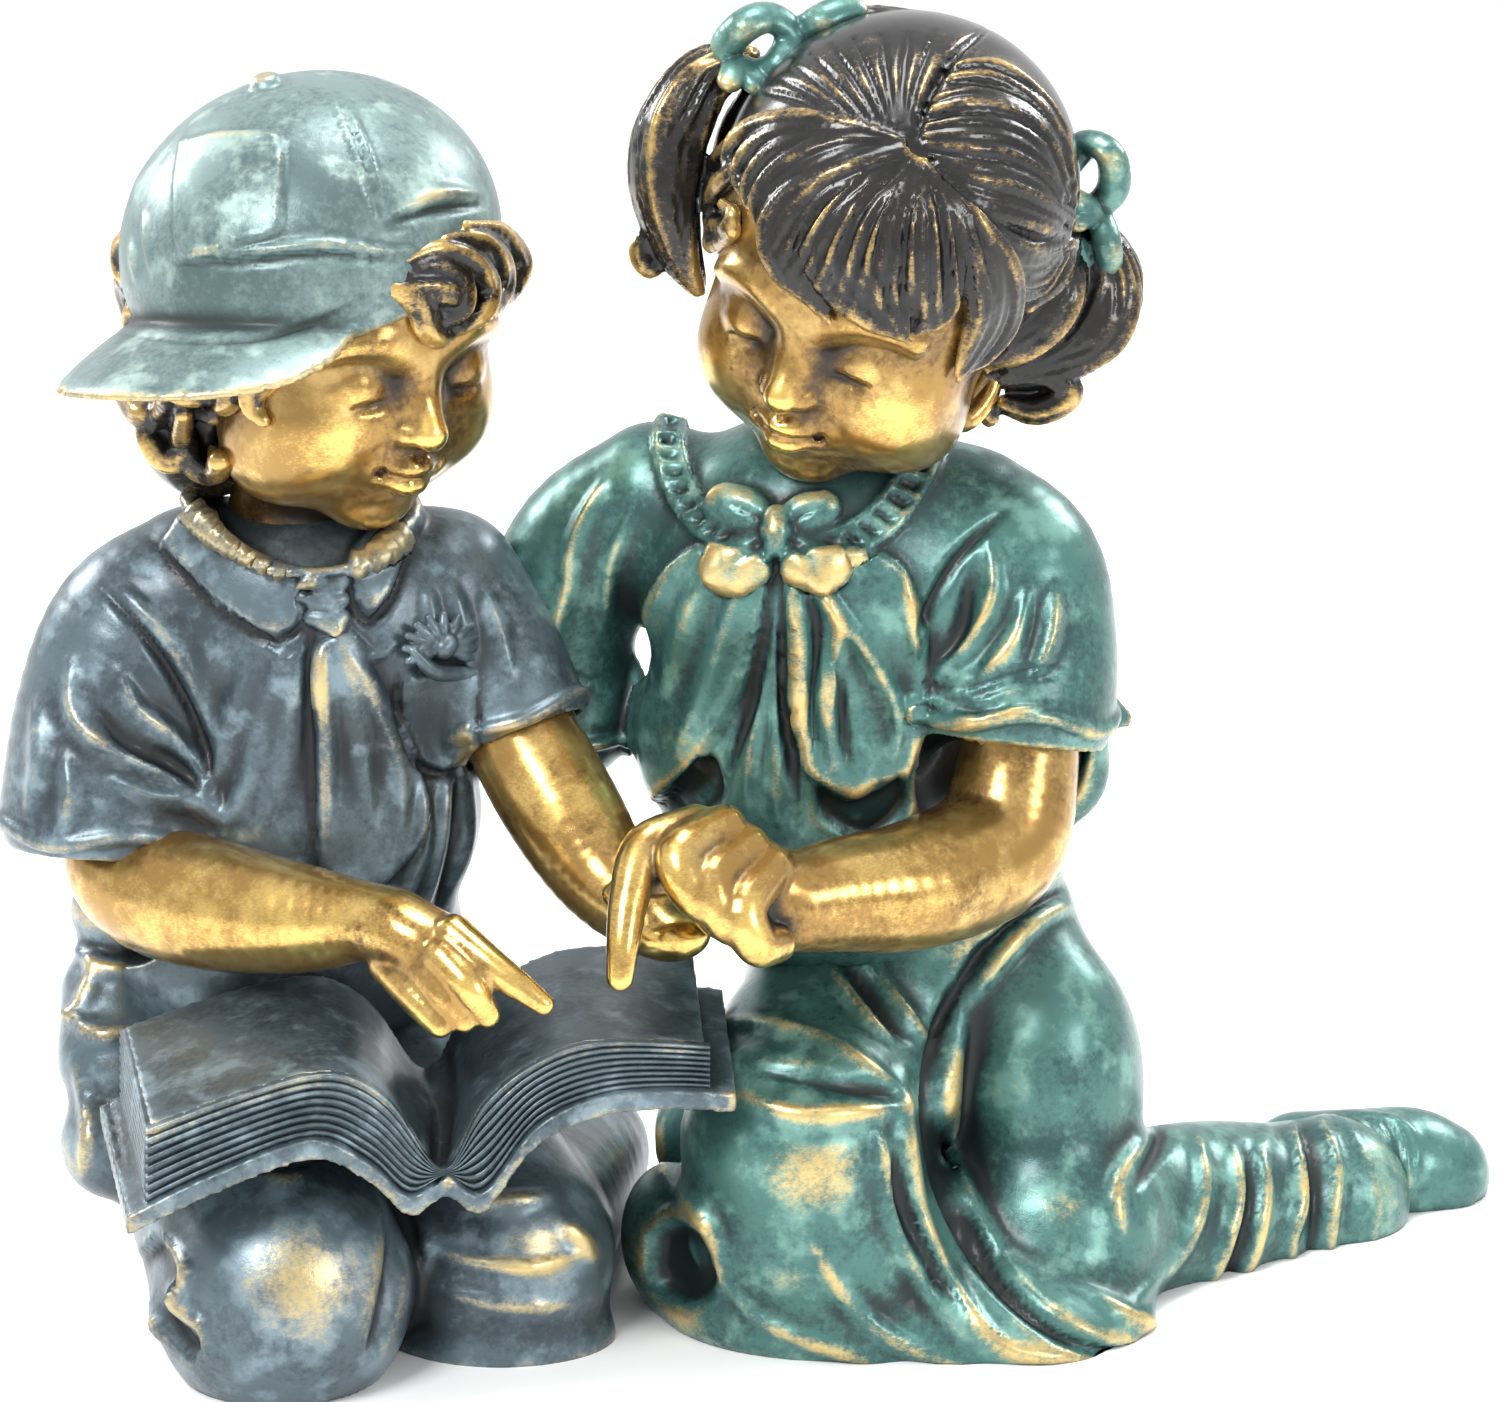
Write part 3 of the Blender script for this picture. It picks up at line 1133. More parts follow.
def boy_shirt():
    """Trunk and sleeves, the collar roll and kerchief, then every seam and fold."""
    clay = Clay("boy_shirt")
    clay.ball(seen(-130, 20, 8), (52, 37, 42), blend=2)
    clay.ball(seen(-134, -32, 10), (54, 41, 48), blend=16)
    clay.ball(seen(-142, -72, 22), (58, 46, 36), blend=16)
    clay.ball(seen(-136, 42, 8), (34, 28, 18), blend=14)
    clay.limb(route((-168, 36, 10, 22), (-184, 20, 6, 27), (-191, -6, 2, 30), (-193, -38, -4, 33)), blend=10,
              cut_end=True)
    clay.limb(route((-92, 34, 12, 24), (-80, 16, 8, 23), (-70, -6, 0, 22)), blend=10, cut_end=True)
    clay.limb(route((-136, 74, 34, 5), (-168, 63, 6, 2.6), (-158, 49, -18, 1.8), (-134, 39, -30, 1.5),
                    (-113, 43, -22, 1.8), (-101, 58, 2, 2.6), (-118, 72, 30, 5), (-136, 74, 34, 5)), blend=6)
    ring(clay, seen(-193, -38, -4), (-0.05, -0.17, -0.98), 31.5, 2.6, waves=(4, 2.0))
    ring(clay, seen(-70, -6, 0), (0.35, -0.3, -0.9), 21.5, 2.2, waves=(3, 1.5))
    clay.limb(route((-193, -52, -6, 29), (-193, -40, -4, 28.5), (-192, -26, -2, 24)), blend=2, scoop=True)
    clay.limb(route((-66, -16, -4, 19), (-70, -6, 0, 18.5), (-74, 6, 4, 15)), blend=2, scoop=True)
    ground = Clay("ground")
    ground.forms = list(clay.forms)
    knot = [[(-131.5, up, 2.6), (-127, up - 0.8, 3.4), (-122.5, up, 2.6)] for up in (36, 30.5, 25)]
    for line in laid(ground, knot, 1.2):
        clay.limb(line, blend=0.8)
    shirt = clay.model(1.45)
    panel(shirt, [(-176, 46), (-165, 33.5), (-153, 23.5), (-142.4, 20.5), (-136.4, 23), (-134, 30),
                  (-134, 36.5), (-145, 42), (-157, 50), (-166, 58)], 4.0, 1.6)
    panel(shirt, [(-120.5, 37.4), (-117, 29), (-113.5, 27), (-109, 30), (-105.5, 40.4), (-103, 50),
                  (-112, 52), (-119, 45)], 4.0, 1.6)
    fold(shirt, [[(-180, 49), (-168, 36), (-158, 27), (-146.5, 19), (-139, 18), (-134.5, 23)],
                 [(-119.8, 30), (-116.5, 25), (-113, 24), (-107.5, 31), (-103.5, 42)]], 1.4, -2.2)
    fold(shirt, [[(-172, 70), (-166, 61), (-158, 50.5), (-145, 41), (-133.5, 37)],
                 [(-120.5, 37.5), (-112, 41), (-106, 48), (-102, 58)]], 1.2, 1.6)
    panel(shirt, [(-126, 22), (-120.5, 21.5), (-109.5, 2.6), (-101.6, -15.3), (-97.6, -30.2),
                  (-100.6, -43.2),
                  (-110, -54), (-120, -56), (-129, -48), (-131.4, -13), (-131, 10)], 3.0, 1.8)
    panel(shirt, [(-104.5, 7), (-83, 8), (-82.5, -8), (-83, -16), (-93, -20.5), (-102, -15), (-104.5, -4)],
          2.0, 1.3)
    fold(shirt, [[(-105, 9), (-106, 2), (-105.5, -6), (-103, -16), (-93.5, -22), (-82.5, -17), (-81.5, -4),
                  (-82, 8)]], 1.1, -2.0)
    fold(shirt, [[(-105, 8.6), (-99, 7.6), (-92, 8), (-83, 8.6)]], 1.0, 1.8)
    fold(shirt, [[(-131.4, 21.5), (-133.4, 6.6), (-131.4, -13.3), (-130.4, -43.2)]], 1.7, -3.0)
    fold(shirt, [[(-129, 20), (-128, 4), (-127, -14), (-127, -40)],
                 [(-123.4, 19.5), (-119.5, 2.6), (-116.5, -14), (-114, -34)],
                 [(-120, 16), (-112, -2), (-106, -20), (-104, -36)]], 3.6, 2.8)
    fold(shirt, [[(-134.4, 14), (-137, -2), (-141, -20), (-146.3, -36.2)],
                 [(-140, 14), (-146, -4), (-150, -22), (-158, -40)],
                 [(-150, 12), (-156, -8), (-162, -26)]], 4.4, 2.8)
    fold(shirt, [[(-143, 20.5), (-138.5, 17), (-133.5, 20.5)], [(-119.5, 20), (-113, 13.5), (-105.5, 17)],
                 [(-146, 18), (-139, 12), (-132.5, 17)]], 1.5, 1.6)
    fold(shirt, [[(-194, 33.5), (-181, 19.5), (-171, 4.6), (-165, -8), (-162, -24)]], 2.0, -2.6)
    fold(shirt, [[(-187, 32), (-174, 18), (-165, 2), (-161, -12)]], 3.2, 2.8)
    fold(shirt, [[(-204, 12), (-203, -2.4), (-196, -11.3), (-180, -19.3), (-165, -27.2), (-158, -34)],
                 [(-189, 8.6), (-184, -2.4), (-174, -10.3), (-167, -18.3), (-161, -30)],
                 [(-190, -24), (-180, -28), (-168, -30), (-158, -36)]], 3.4, 3.6)
    fold(shirt, [[(-196, 0), (-188, -12), (-172, -20), (-162, -29)]], 2.4, -2.2)
    fold(shirt, [[(-214, 0), (-213, -18), (-216, -34)], [(-206, -16), (-204, -28), (-206, -40)]], 3.6, 2.6)
    fold(shirt, [[(-90, 36), (-86, 22), (-84, 8)], [(-80, 34), (-75, 20), (-72, 8)],
                 [(-97, 34), (-95, 22), (-96, 10)]], 2.8, 2.2)
    fold(shirt, [[(-91, -20), (-93, -44), (-101, -70)], [(-84, -24), (-85, -44), (-90, -64)],
                 [(-98, -26), (-98, -44), (-104, -62)]], 2.4, 2.6)
    fold(shirt, [[(-87.5, -22), (-89, -44), (-95, -66)]], 1.6, -2.0)
    fold(shirt, [[(-208, -56), (-200, -70), (-190, -84)], [(-204, -62), (-190, -68), (-172, -66)]], 3.6, 3.0)
    back_fold(shirt, [[(122, 30), (112, -2), (112, -40)], [(138, 34), (141, -8), (138, -50)],
                      [(156, 28), (166, -4), (166, -40)],
                      [(178, 10), (187, -10), (188, -30)], [(130, 20), (126, -10), (124, -36)],
                      [(150, 10), (152, -20), (150, -52)]], 4.4, 3.6)
    back_fold(shirt, [[(92, -96), (140, -104), (188, -96)]], 3.4, 4.0)
    back_fold(shirt, [[(92, -103), (140, -111), (188, -103)]], 2.4, -3.4)
    return shirt


set_in_frame(boy_shirt(), SLATE,
             [(-124, 2, 13, 0.35), (-166, 44, 4, 0.4), (-84, -20, 9, 0.6)])

# %% The flower in the boy's pocket


def boy_flower():
    """Petals laid in a ring over the chest, a heart and a leaf below."""
    clay = Clay("boy_flower")
    ground = Clay("ground")
    ground.ball(seen(-130, 20, 8), (52, 37, 42), blend=2)
    ground.ball(seen(-134, -32, 10), (54, 41, 48), blend=16)
    petals = []
    for petal in range(11):
        angle = math.radians(-24 + 22.8 * petal)
        petals.append([(-92 + reach * math.cos(angle), 16 + reach * 0.85 * math.sin(angle), thick)
                       for reach, thick in ((2.0, 1.2), (6.5, 1.9), (11.5, 1.2))])
    leaf = [(-101, 15, 1.4), (-94, 8.6, 2.5), (-82.5, 8.6, 1.9)]
    for line in laid(ground, petals, 4.6):
        clay.limb(line, blend=0.2)
    for line in laid(ground, [[(-92, 16, 3.4), (-91, 17, 3.4)], leaf], 5.6):
        clay.limb(line, blend=0.3)
    for line in laid(ground, [[(-97, 17, 5), (-87, 17, 5)]], 0.4):
        clay.limb(line, blend=1.0)
    return clay.model(0.7)


set_in_frame(boy_flower(), SLATE)

# %% The boy's trousers


def boy_trousers():
    """Hips, thighs, shins and feet, then the folds over knee and hip."""
    clay = Clay("boy_trousers")
    clay.ball((-140, 40, 62), (56, 44, 40), blend=4)
    clay.limb([(-158, 15, 58, 38), (-150, -30, 44, 38), (-139, -68, 28, 38)], blend=10)
    clay.limb([(-112, 25, 56, 36), (-92, -8, 42, 34), (-75, -35, 26, 33)], blend=10)
    clay.limb([(-139, -66, 22, 36), (-146, 0, 20, 30), (-150, 55, 20, 26)], blend=8)
    clay.limb([(-75, -33, 20, 32), (-66, 20, 20, 28), (-56, 66, 20, 24)], blend=8)
    clay.ball(seen(-74, -190, -40), (34, 26, 14), blend=8)
    for up, deep, wide in ((-62, 16, 14), (-88, 8, 17), (-106, -6, 18), (-132, -20, 17)):
        clay.ball(seen(-190, up, deep), (wide, wide + 4, wide), blend=8)
    for heel in (-154, -60):
        ring(clay, (heel, 64, 24), (0.04, 1, -0.1), 21, 3)
        clay.limb([(heel, 60, 24, 20), (heel + 1, 74, 22, 15), (heel + 2, 88, 21, 16),
                   (heel + 3, 99, 17, 15)], blend=3)
    trousers = clay.model(2.0)
    back_fold(trousers, [[(140, -108), (141, -132), (140, -156)]], 3.4, -4.0)
    back_fold(trousers, [[(104, -120), (118, -138), (128, -150)], [(176, -120), (162, -138), (152, -150)],
                         [(110, -112), (118, -124), (130, -132)], [(170, -112), (162, -124), (150, -132)]],
                         4.0, 3.4)
    panel(trousers, [(-178, -160), (-171, -172), (-176, -182), (-168, -190), (-165, -196), (-172, -196),
                     (-180, -184), (-184, -170)], -4.0, 2.4)
    fold(trousers, [[(-176, -160), (-169, -171), (-173, -180), (-164, -188), (-163, -196)],
                    [(-181, -176), (-176, -188), (-168, -197)], [(-186, -164), (-183, -180), (-176, -192)]],
                    2.2, 3.0)
    fold(trousers, [[(-150, -142), (-140, -144), (-132, -142)], [(-120, -136), (-112, -148), (-108, -158)]],
         3.0, 2.2)
    fold(trousers, [[(-108, -150), (-106, -166), (-109, -184), (-114, -196)]], 3.0, -5.0)
    fold(trousers, [[(-98, -163), (-84, -168), (-66, -170), (-50, -166)],
                    [(-96, -176), (-80, -180), (-62, -182), (-52, -180)],
                    [(-100, -152), (-96, -160), (-98, -172)]], 2.6, 2.2)
    fold(trousers, [[(-88, -146), (-76, -150), (-60, -148)], [(-56, -156), (-50, -162), (-46, -170)]], 3.4,
         2.4)
    fold(trousers, [[(-204, -72), (-194, -80), (-182, -80)], [(-206, -92), (-196, -100), (-184, -98)],
                    [(-202, -110), (-198, -124), (-200, -140)], [(-196, -76), (-200, -90), (-206, -98)]],
                    3.0, 2.8)
    return trousers


set_in_frame(boy_trousers(), SLATE, [(-132, -172, 17, 1.3), (-61, -166, 12, 1.3)])

# %% [markdown]
# ## The book
#
# A thick book lies open over the boy's knees. Its front edge arches on both sides of the gutter. It is
# built in layers between two lines across that edge, run back over the knees: the cover, and the pages.

# %% The open book

COVER_LINE = ((-187, -161), (-160, -148), (-131, -138), (-114, -145), (-102, -155), (-91, -149), (-80, -154),
              (-64, -134), (-44, -125), (-22, -123), (-4, -124))
PAGE_LINE = ((-187, -132), (-150, -118.5), (-125, -113), (-108, -121), (-92, -142), (-80, -123),
             (-65, -110.5), (-44, -103.5), (-4, -105))
# The front edge of the book: its left corner, how deep that lies, and how much deeper per unit across.
BOOK_CORNER = -185
BOOK_DEPTH = -118
BOOK_SLANT = 0.249


def height_of(line, across):
    """How high a line runs at a place across the view."""
    run = spline([(*spot, 0) for spot in line])
    return np.interp(across, run[:, 0], run[:, 1])


def layer(under, over, left, right, front, back, columns=161, rows=41):
    """One layer of the open book, between two lines across its front edge."""
    rings = []
    edge = []
    for across in np.linspace(left, right, columns):
        deep = BOOK_DEPTH + (across - BOOK_CORNER) * BOOK_SLANT
        drift = -0.20 + 0.14 * (across - left) / (right - left)
        way_back = np.array((drift, 1.0, 0.11))
        edge += [(np.array(seen(across, line(across), deep)), way_back) for line in (under, over)]
    for step in range(rows):
        away = front + (back - front) * step / (rows - 1)
        rings += [spot + way_back * away for spot, way_back in edge]

    def at(step, column, top):
        return (step * columns + column) * 2 + top

    faces = []
    end = columns - 1
    far = rows - 1
    for c in range(end):
        for s in range(far):
            faces.append((at(s, c, 1), at(s, c + 1, 1), at(s + 1, c + 1, 1), at(s + 1, c, 1)))
            faces.append((at(s, c, 0), at(s + 1, c, 0), at(s + 1, c + 1, 0), at(s, c + 1, 0)))
        faces.append((at(0, c, 0), at(0, c + 1, 0), at(0, c + 1, 1), at(0, c, 1)))
        faces.append((at(far, c, 0), at(far, c, 1), at(far, c + 1, 1), at(far, c + 1, 0)))
    for s in range(far):
        faces.append((at(s, 0, 0), at(s, 0, 1), at(s + 1, 0, 1), at(s + 1, 0, 0)))
        faces.append((at(s, end, 0), at(s + 1, end, 0), at(s + 1, end, 1), at(s, end, 1)))
    return rings, faces


LEAVES = 8
PAGES_START = 5.6


def cover_line(lift):
    """The line of the cover, raised by so much."""
    def line(across):
        return height_of(COVER_LINE, across) + lift
    return line


def leaf_line(share):
    """The line this share of the way up the block of pages."""
    def line(across):
        low = height_of(COVER_LINE, across) + PAGES_START
        return low + max(height_of(PAGE_LINE, across) - low, 0.5) * share
    return line


def joined_layers(name, layers):
    """One piece with all the layers."""
    corners = []
    faces = []
    for places, around in layers:
        faces += [[corner + len(corners) for corner in face] for face in around]
        corners += places
    return new_piece(name, corners, faces)


def book():
    """The cover and the block of pages, with the gutter pressed in."""
    piece = joined_layers("book", [
        layer(cover_line(0), cover_line(6), -187, -4, 0, 74),
        layer(cover_line(2), leaf_line(1), -179.6, -13.4, 4.0, 71)])
    apply(piece, "REMESH", mode="VOXEL", voxel_size=1.25)
    fold(piece, [[(-188, -140), (-192, -122), (-196, -110)], [(-190, -148), (-195, -130), (-199, -116)]],
         0.9, -1.0)
    fold(piece, [[(-95, -150), (-93, -134), (-91, -116), (-92, -100)]], 3.0, -2.5, facing=(0, -0.4, 0.9))
    return piece


def book_leaves():
    """Thin layers that stand out of the block of pages at its front and side."""
    layers = []
    for leaf in range(LEAVES):
        under = leaf_line((leaf + 0.46) / LEAVES)
        over = leaf_line((leaf + 0.95) / LEAVES)
        layers += [layer(under, over, -181.2, -11.8, 2.2, 5.0, rows=4),
                   layer(under, over, -181.2, -178.8, 2.2, 71, columns=5)]
    return joined_layers("book_leaves", layers)


PAGE_RIM = [(across, height_of(PAGE_LINE, across) - 0.5, 3.4, 0.4) for across in range(-180, -12, 4)]
set_in_frame(book(), SLATE, PAGE_RIM)
set_in_frame(book_leaves(), SLATE, PAGE_RIM, (5, 3.0))

# %% [markdown]
# ## The girl's clothes
#
# A short open jacket with bell sleeves over a gathered blouse, a frilled collar with a bow, and wide
# trousers whose folds run from the knee back to the hip.

# %% The girl's jacket and blouse


def girl_blouse():
    """Trunk, bell sleeves, pleated frill and bow, then the jacket and every fold."""
    clay = Clay("girl_blouse")
    clay.ball(seen(24, 40, 14), (58, 42, 46), blend=2)
    clay.ball(seen(20, -10, 18), (54, 43, 48), blend=16)
    clay.ball(seen(28, -48, 24), (50, 42, 36), blend=14)
    clay.ball(seen(20, 66, 14), (32, 26, 16), blend=14)
    clay.limb(route((66, 52, 14, 24), (78, 38, 8, 28), (80, 18, 4, 30), (77, -3, -2, 33)), blend=10,
              cut_end=True)
    clay.limb(route((-28, 62, 24, 22), (-48, 46, 30, 24), (-58, 22, 32, 24), (-56, -8, 30, 23)), blend=10,
              cut_end=True)
    ring(clay, seen(77, -3, -2), (-0.08, -0.17, -0.98), 32, 2.4, waves=(4, 2.4))
    ring(clay, seen(-56, -8, 30), (0.05, 0, -1), 22.5, 2.2)
    clay.limb(route((92, 4, 4, 12), (104, -2, 6, 7), (112, -5, 8, 3)), blend=3, flat=(0.3, -0.8, 0.5),
              thin=2.0)
    clay.limb(route((96, -8, 12, 12), (97, -22, 14, 11), (92, -33, 14, 7)), blend=4, flat=(0.3, -0.8, 0.5),
              thin=2.0)
    clay.limb(route((75, -18, -4, 29), (77, -4, -2, 28.5), (79, 10, 2, 24)), blend=2, scoop=True)
    ground = Clay("ground")
    ground.forms = list(clay.forms)
    outer = spline([(-25, 89), (-28, 80), (-27, 71), (-23, 60), (-16, 51), (-6, 46), (8, 44), (24, 43),
                    (36, 47), (46, 55), (53, 66), (57, 76)], 4)
    inner = spline([(-19, 88), (-21, 79), (-19.5, 70), (-15.5, 61), (-9.5, 54), (-2, 51), (8, 50),
                    (20, 49.5), (30, 53), (38.5, 60), (45, 69), (49, 78)], 4)
    pleats = []
    for i in range(0, len(outer), 2):
        pleats.append([(*inner[i], 1.3), (*((inner[i] + outer[i]) / 2), 1.9), (*outer[i], 1.7)])
    for line in laid(ground, pleats, 0.6):
        clay.limb(line, blend=1.0)
    rims = [[(*spot, 1.5) for spot in outer[::2]], [(*spot, 1.4) for spot in inner[::2]]]
    for line in laid(ground, rims, 1.0):
        clay.limb(line, blend=0.8)
    lobes = [[(8, 52, 3.0), (0, 57, 6.0), (-7, 60, 5.6), (-10, 59, 4)],
             [(8, 52, 3.0), (16, 56, 6.0), (22, 58, 5.4)],
             [(7, 49, 3.0), (1, 44, 6.4), (-5, 41, 7.0), (-8, 40, 5)],
             [(9, 49, 3.0), (15, 44, 6.4), (21, 41, 6.4), (23, 41, 5)]]
    for line in laid(ground, lobes, 1.0):
        clay.limb(line, blend=1.6, flat=(0, -1, 0.3), thin=1.7)
    for line in laid(ground, [[(8, 55, 4.0), (8, 51, 5.0), (8, 47, 4.0)]], 3.5):
        clay.limb(line, blend=1.0)
    blouse = clay.model(1.5)
    panel(blouse, [(6, 44), (4.6, 30), (0.5, 16), (-2, 6), (-6.8, -4), (-13, -15.3), (-17, -21.5),
                   (-27, -29), (-31, -34), (-38, -20), (-37, 0), (-30, 30), (-16, 46)], 3.4, 1.8)
    panel(blouse, [(9.7, 44), (11.8, 24), (11.8, 5.4), (13.9, -9), (17, -20.4), (25.2, -26.6),
                   (32.5, -28.7), (39, -24), (46, -24), (52, -6), (53, 20), (44, 42), (26, 46)], 3.4, 1.8)
    panel(blouse, [(-28, -32), (-19, -22), (-12, -17), (-9, -26), (-14, -36), (-26, -36)], -4.5, 3.0)
    panel(blouse, [(20, -26), (30, -31), (40, -27), (46, -24), (48, -32), (36, -42), (22, -36)], -4.5, 3.0)
    fold(blouse, [[(4, 34), (-1, 12), (-8, -6), (-17, -22)],
                  [(10.5, 40), (12.5, 20), (13, 0), (16, -18), (26, -27)]], 1.3, 1.5)
    fold(blouse, [[(5, 53), (-1, 57), (-8, 60)], [(5, 49), (0, 45), (-6, 41)],
                  [(11, 53), (16, 56), (22, 59)], [(11, 49), (16, 45), (21, 41)]], 1.1, -1.6)
    fold(blouse, [[(8, 36), (5, 14), (2, -8), (-2, -32)], [(8.5, 34), (9, 10), (8, -12), (8, -36)]], 2.4,
         2.6)
    fold(blouse, [[(7, 30), (3, 8), (-4, -14), (-10, -34)], [(9, 28), (10, 4), (13, -20), (16, -38)]], 1.8,
         -2.6)
    fold(blouse, [[(17, 36), (20, 19), (18, -2), (20, -18)], [(23, 22), (26, 6), (28, -8), (31, -22)]], 1.8,
         -2.6)
    fold(blouse, [[(14, 40), (33.5, 17), (44, -2.9), (43, -18)], [(13, 36), (15, 16), (15, -4), (19, -18)],
                  [(22, 36), (26, 20), (23, 0), (25, -20)]], 3.0, 3.2)
    fold(blouse, [[(-2, 36), (-8, 20), (-14, 2), (-22, -16)], [(-12, 40), (-20, 22), (-26, 2)],
                  [(-24, 40), (-30, 24), (-34, 6)]], 3.8, 2.2)
    fold(blouse, [[(46, 38.5), (48, 26), (50, 11.6)]], 2.4, 2.6)
    fold(blouse, [[(77, 58), (64, 45), (55, 30.2), (51, 20)]], 2.0, -2.6)
    fold(blouse, [[(72, 48), (73, 32.3), (67, 19.9), (56, 7.5)], [(83, 32), (79, 18), (70, 8)],
                  [(92, 34), (90, 20), (86, 8)]], 3.4, 3.4)
    fold(blouse, [[(66, 40), (64, 24), (58, 12)]], 2.4, -2.0)
    fold(blouse, [[(48, 3.4), (64, 1), (79, 5.5), (94, 8.5)], [(48, 6), (64, 4), (79, 8.5), (95, 11.5)]],
         1.0, -1.4)
    fold(blouse, [[(46, -2), (54, 0.2), (66, -6), (79, -3), (92, -1)]], 1.8, 1.6)
    fold(blouse, [[(-44, 66), (-52, 50), (-56, 34)], [(-52, 40), (-58, 24), (-60, 8)],
                  [(-36, 56), (-42, 40), (-44, 22)], [(-64, 30), (-66, 14), (-64, 0)]], 2.8, 2.6)
    fold(blouse, [[(-72, 16), (-58, 8), (-44, 6)], [(-73, 11), (-58, 3), (-45, 1)]], 1.0, -1.2)
    fold(blouse, [[(82, -44), (70, -62), (58, -80)], [(96, -40), (94, -56), (86, -64)]], 3.4, 2.8)
    back_fold(blouse, [[(-2, 40), (4, 8), (4, -24)], [(-20, 44), (-24, 6), (-22, -30)],
                       [(-38, 40), (-46, 8), (-46, -24)],
                       [(-60, 30), (-67, 10), (-66, -10)], [(-10, 30), (-8, 4), (-10, -26)],
                       [(-30, 24), (-34, -4), (-34, -28)]], 4.2, 3.4)
    back_fold(blouse, [[(16, -34), (-28, -42), (-72, -34)]], 3.4, 4.2)
    back_fold(blouse, [[(16, -41), (-28, -49), (-72, -41)]], 2.4, -3.4)
    return blouse


set_in_frame(girl_blouse(), GREEN,
             [(66, 20, 12, 0.5), (33, 27, 12, 0.4), (-52, 66, 9, 0.5), (78, 3, 7, 0.4)])

# %% The girl's bows

LOOPS = ((((-4, 188, 4), (-7, 196, 5), (-1, 203, 5.5), (6, 205, 5.5), (12, 200, 5), (9, 192, 4.5),
           (0, 188, 4)), 8),
         (((8, 192, 4), (14, 199, 4.5), (22, 205, 5), (30, 208, 4.5), (33, 205, 3)), 12),
         (((2, 186, 5), (-3, 190, 5), (-6, 186, 4)), 4),
         (((95, 160, 4), (101, 167, 5), (108, 164, 5), (109, 154, 5), (103, 148, 4.5), (97, 150, 4)), 14),
         (((96, 146, 4), (104, 145, 4.5), (107, 138, 4.5), (107, 131, 4.5), (102, 130, 4), (98, 137, 3.5)),
          10), (((98, 150, 4.5), (101, 147, 5), (98, 144, 4)), 8))


def girl_bows():
    """Ribbon loops and tails over both bunches."""
    clay = Clay("girl_bows")
    for loop, deep in LOOPS:
        way = [seen(across, up, deep + 3 * math.sin(2.2 * i), thick)
               for i, (across, up, thick) in enumerate(loop)]
        clay.limb(way, blend=0.8, flat=(0.2, -0.5, 0.8), thin=1.5)
    return clay.model(1.1)


set_in_frame(girl_bows(), GREEN)

# %% The girl's trousers


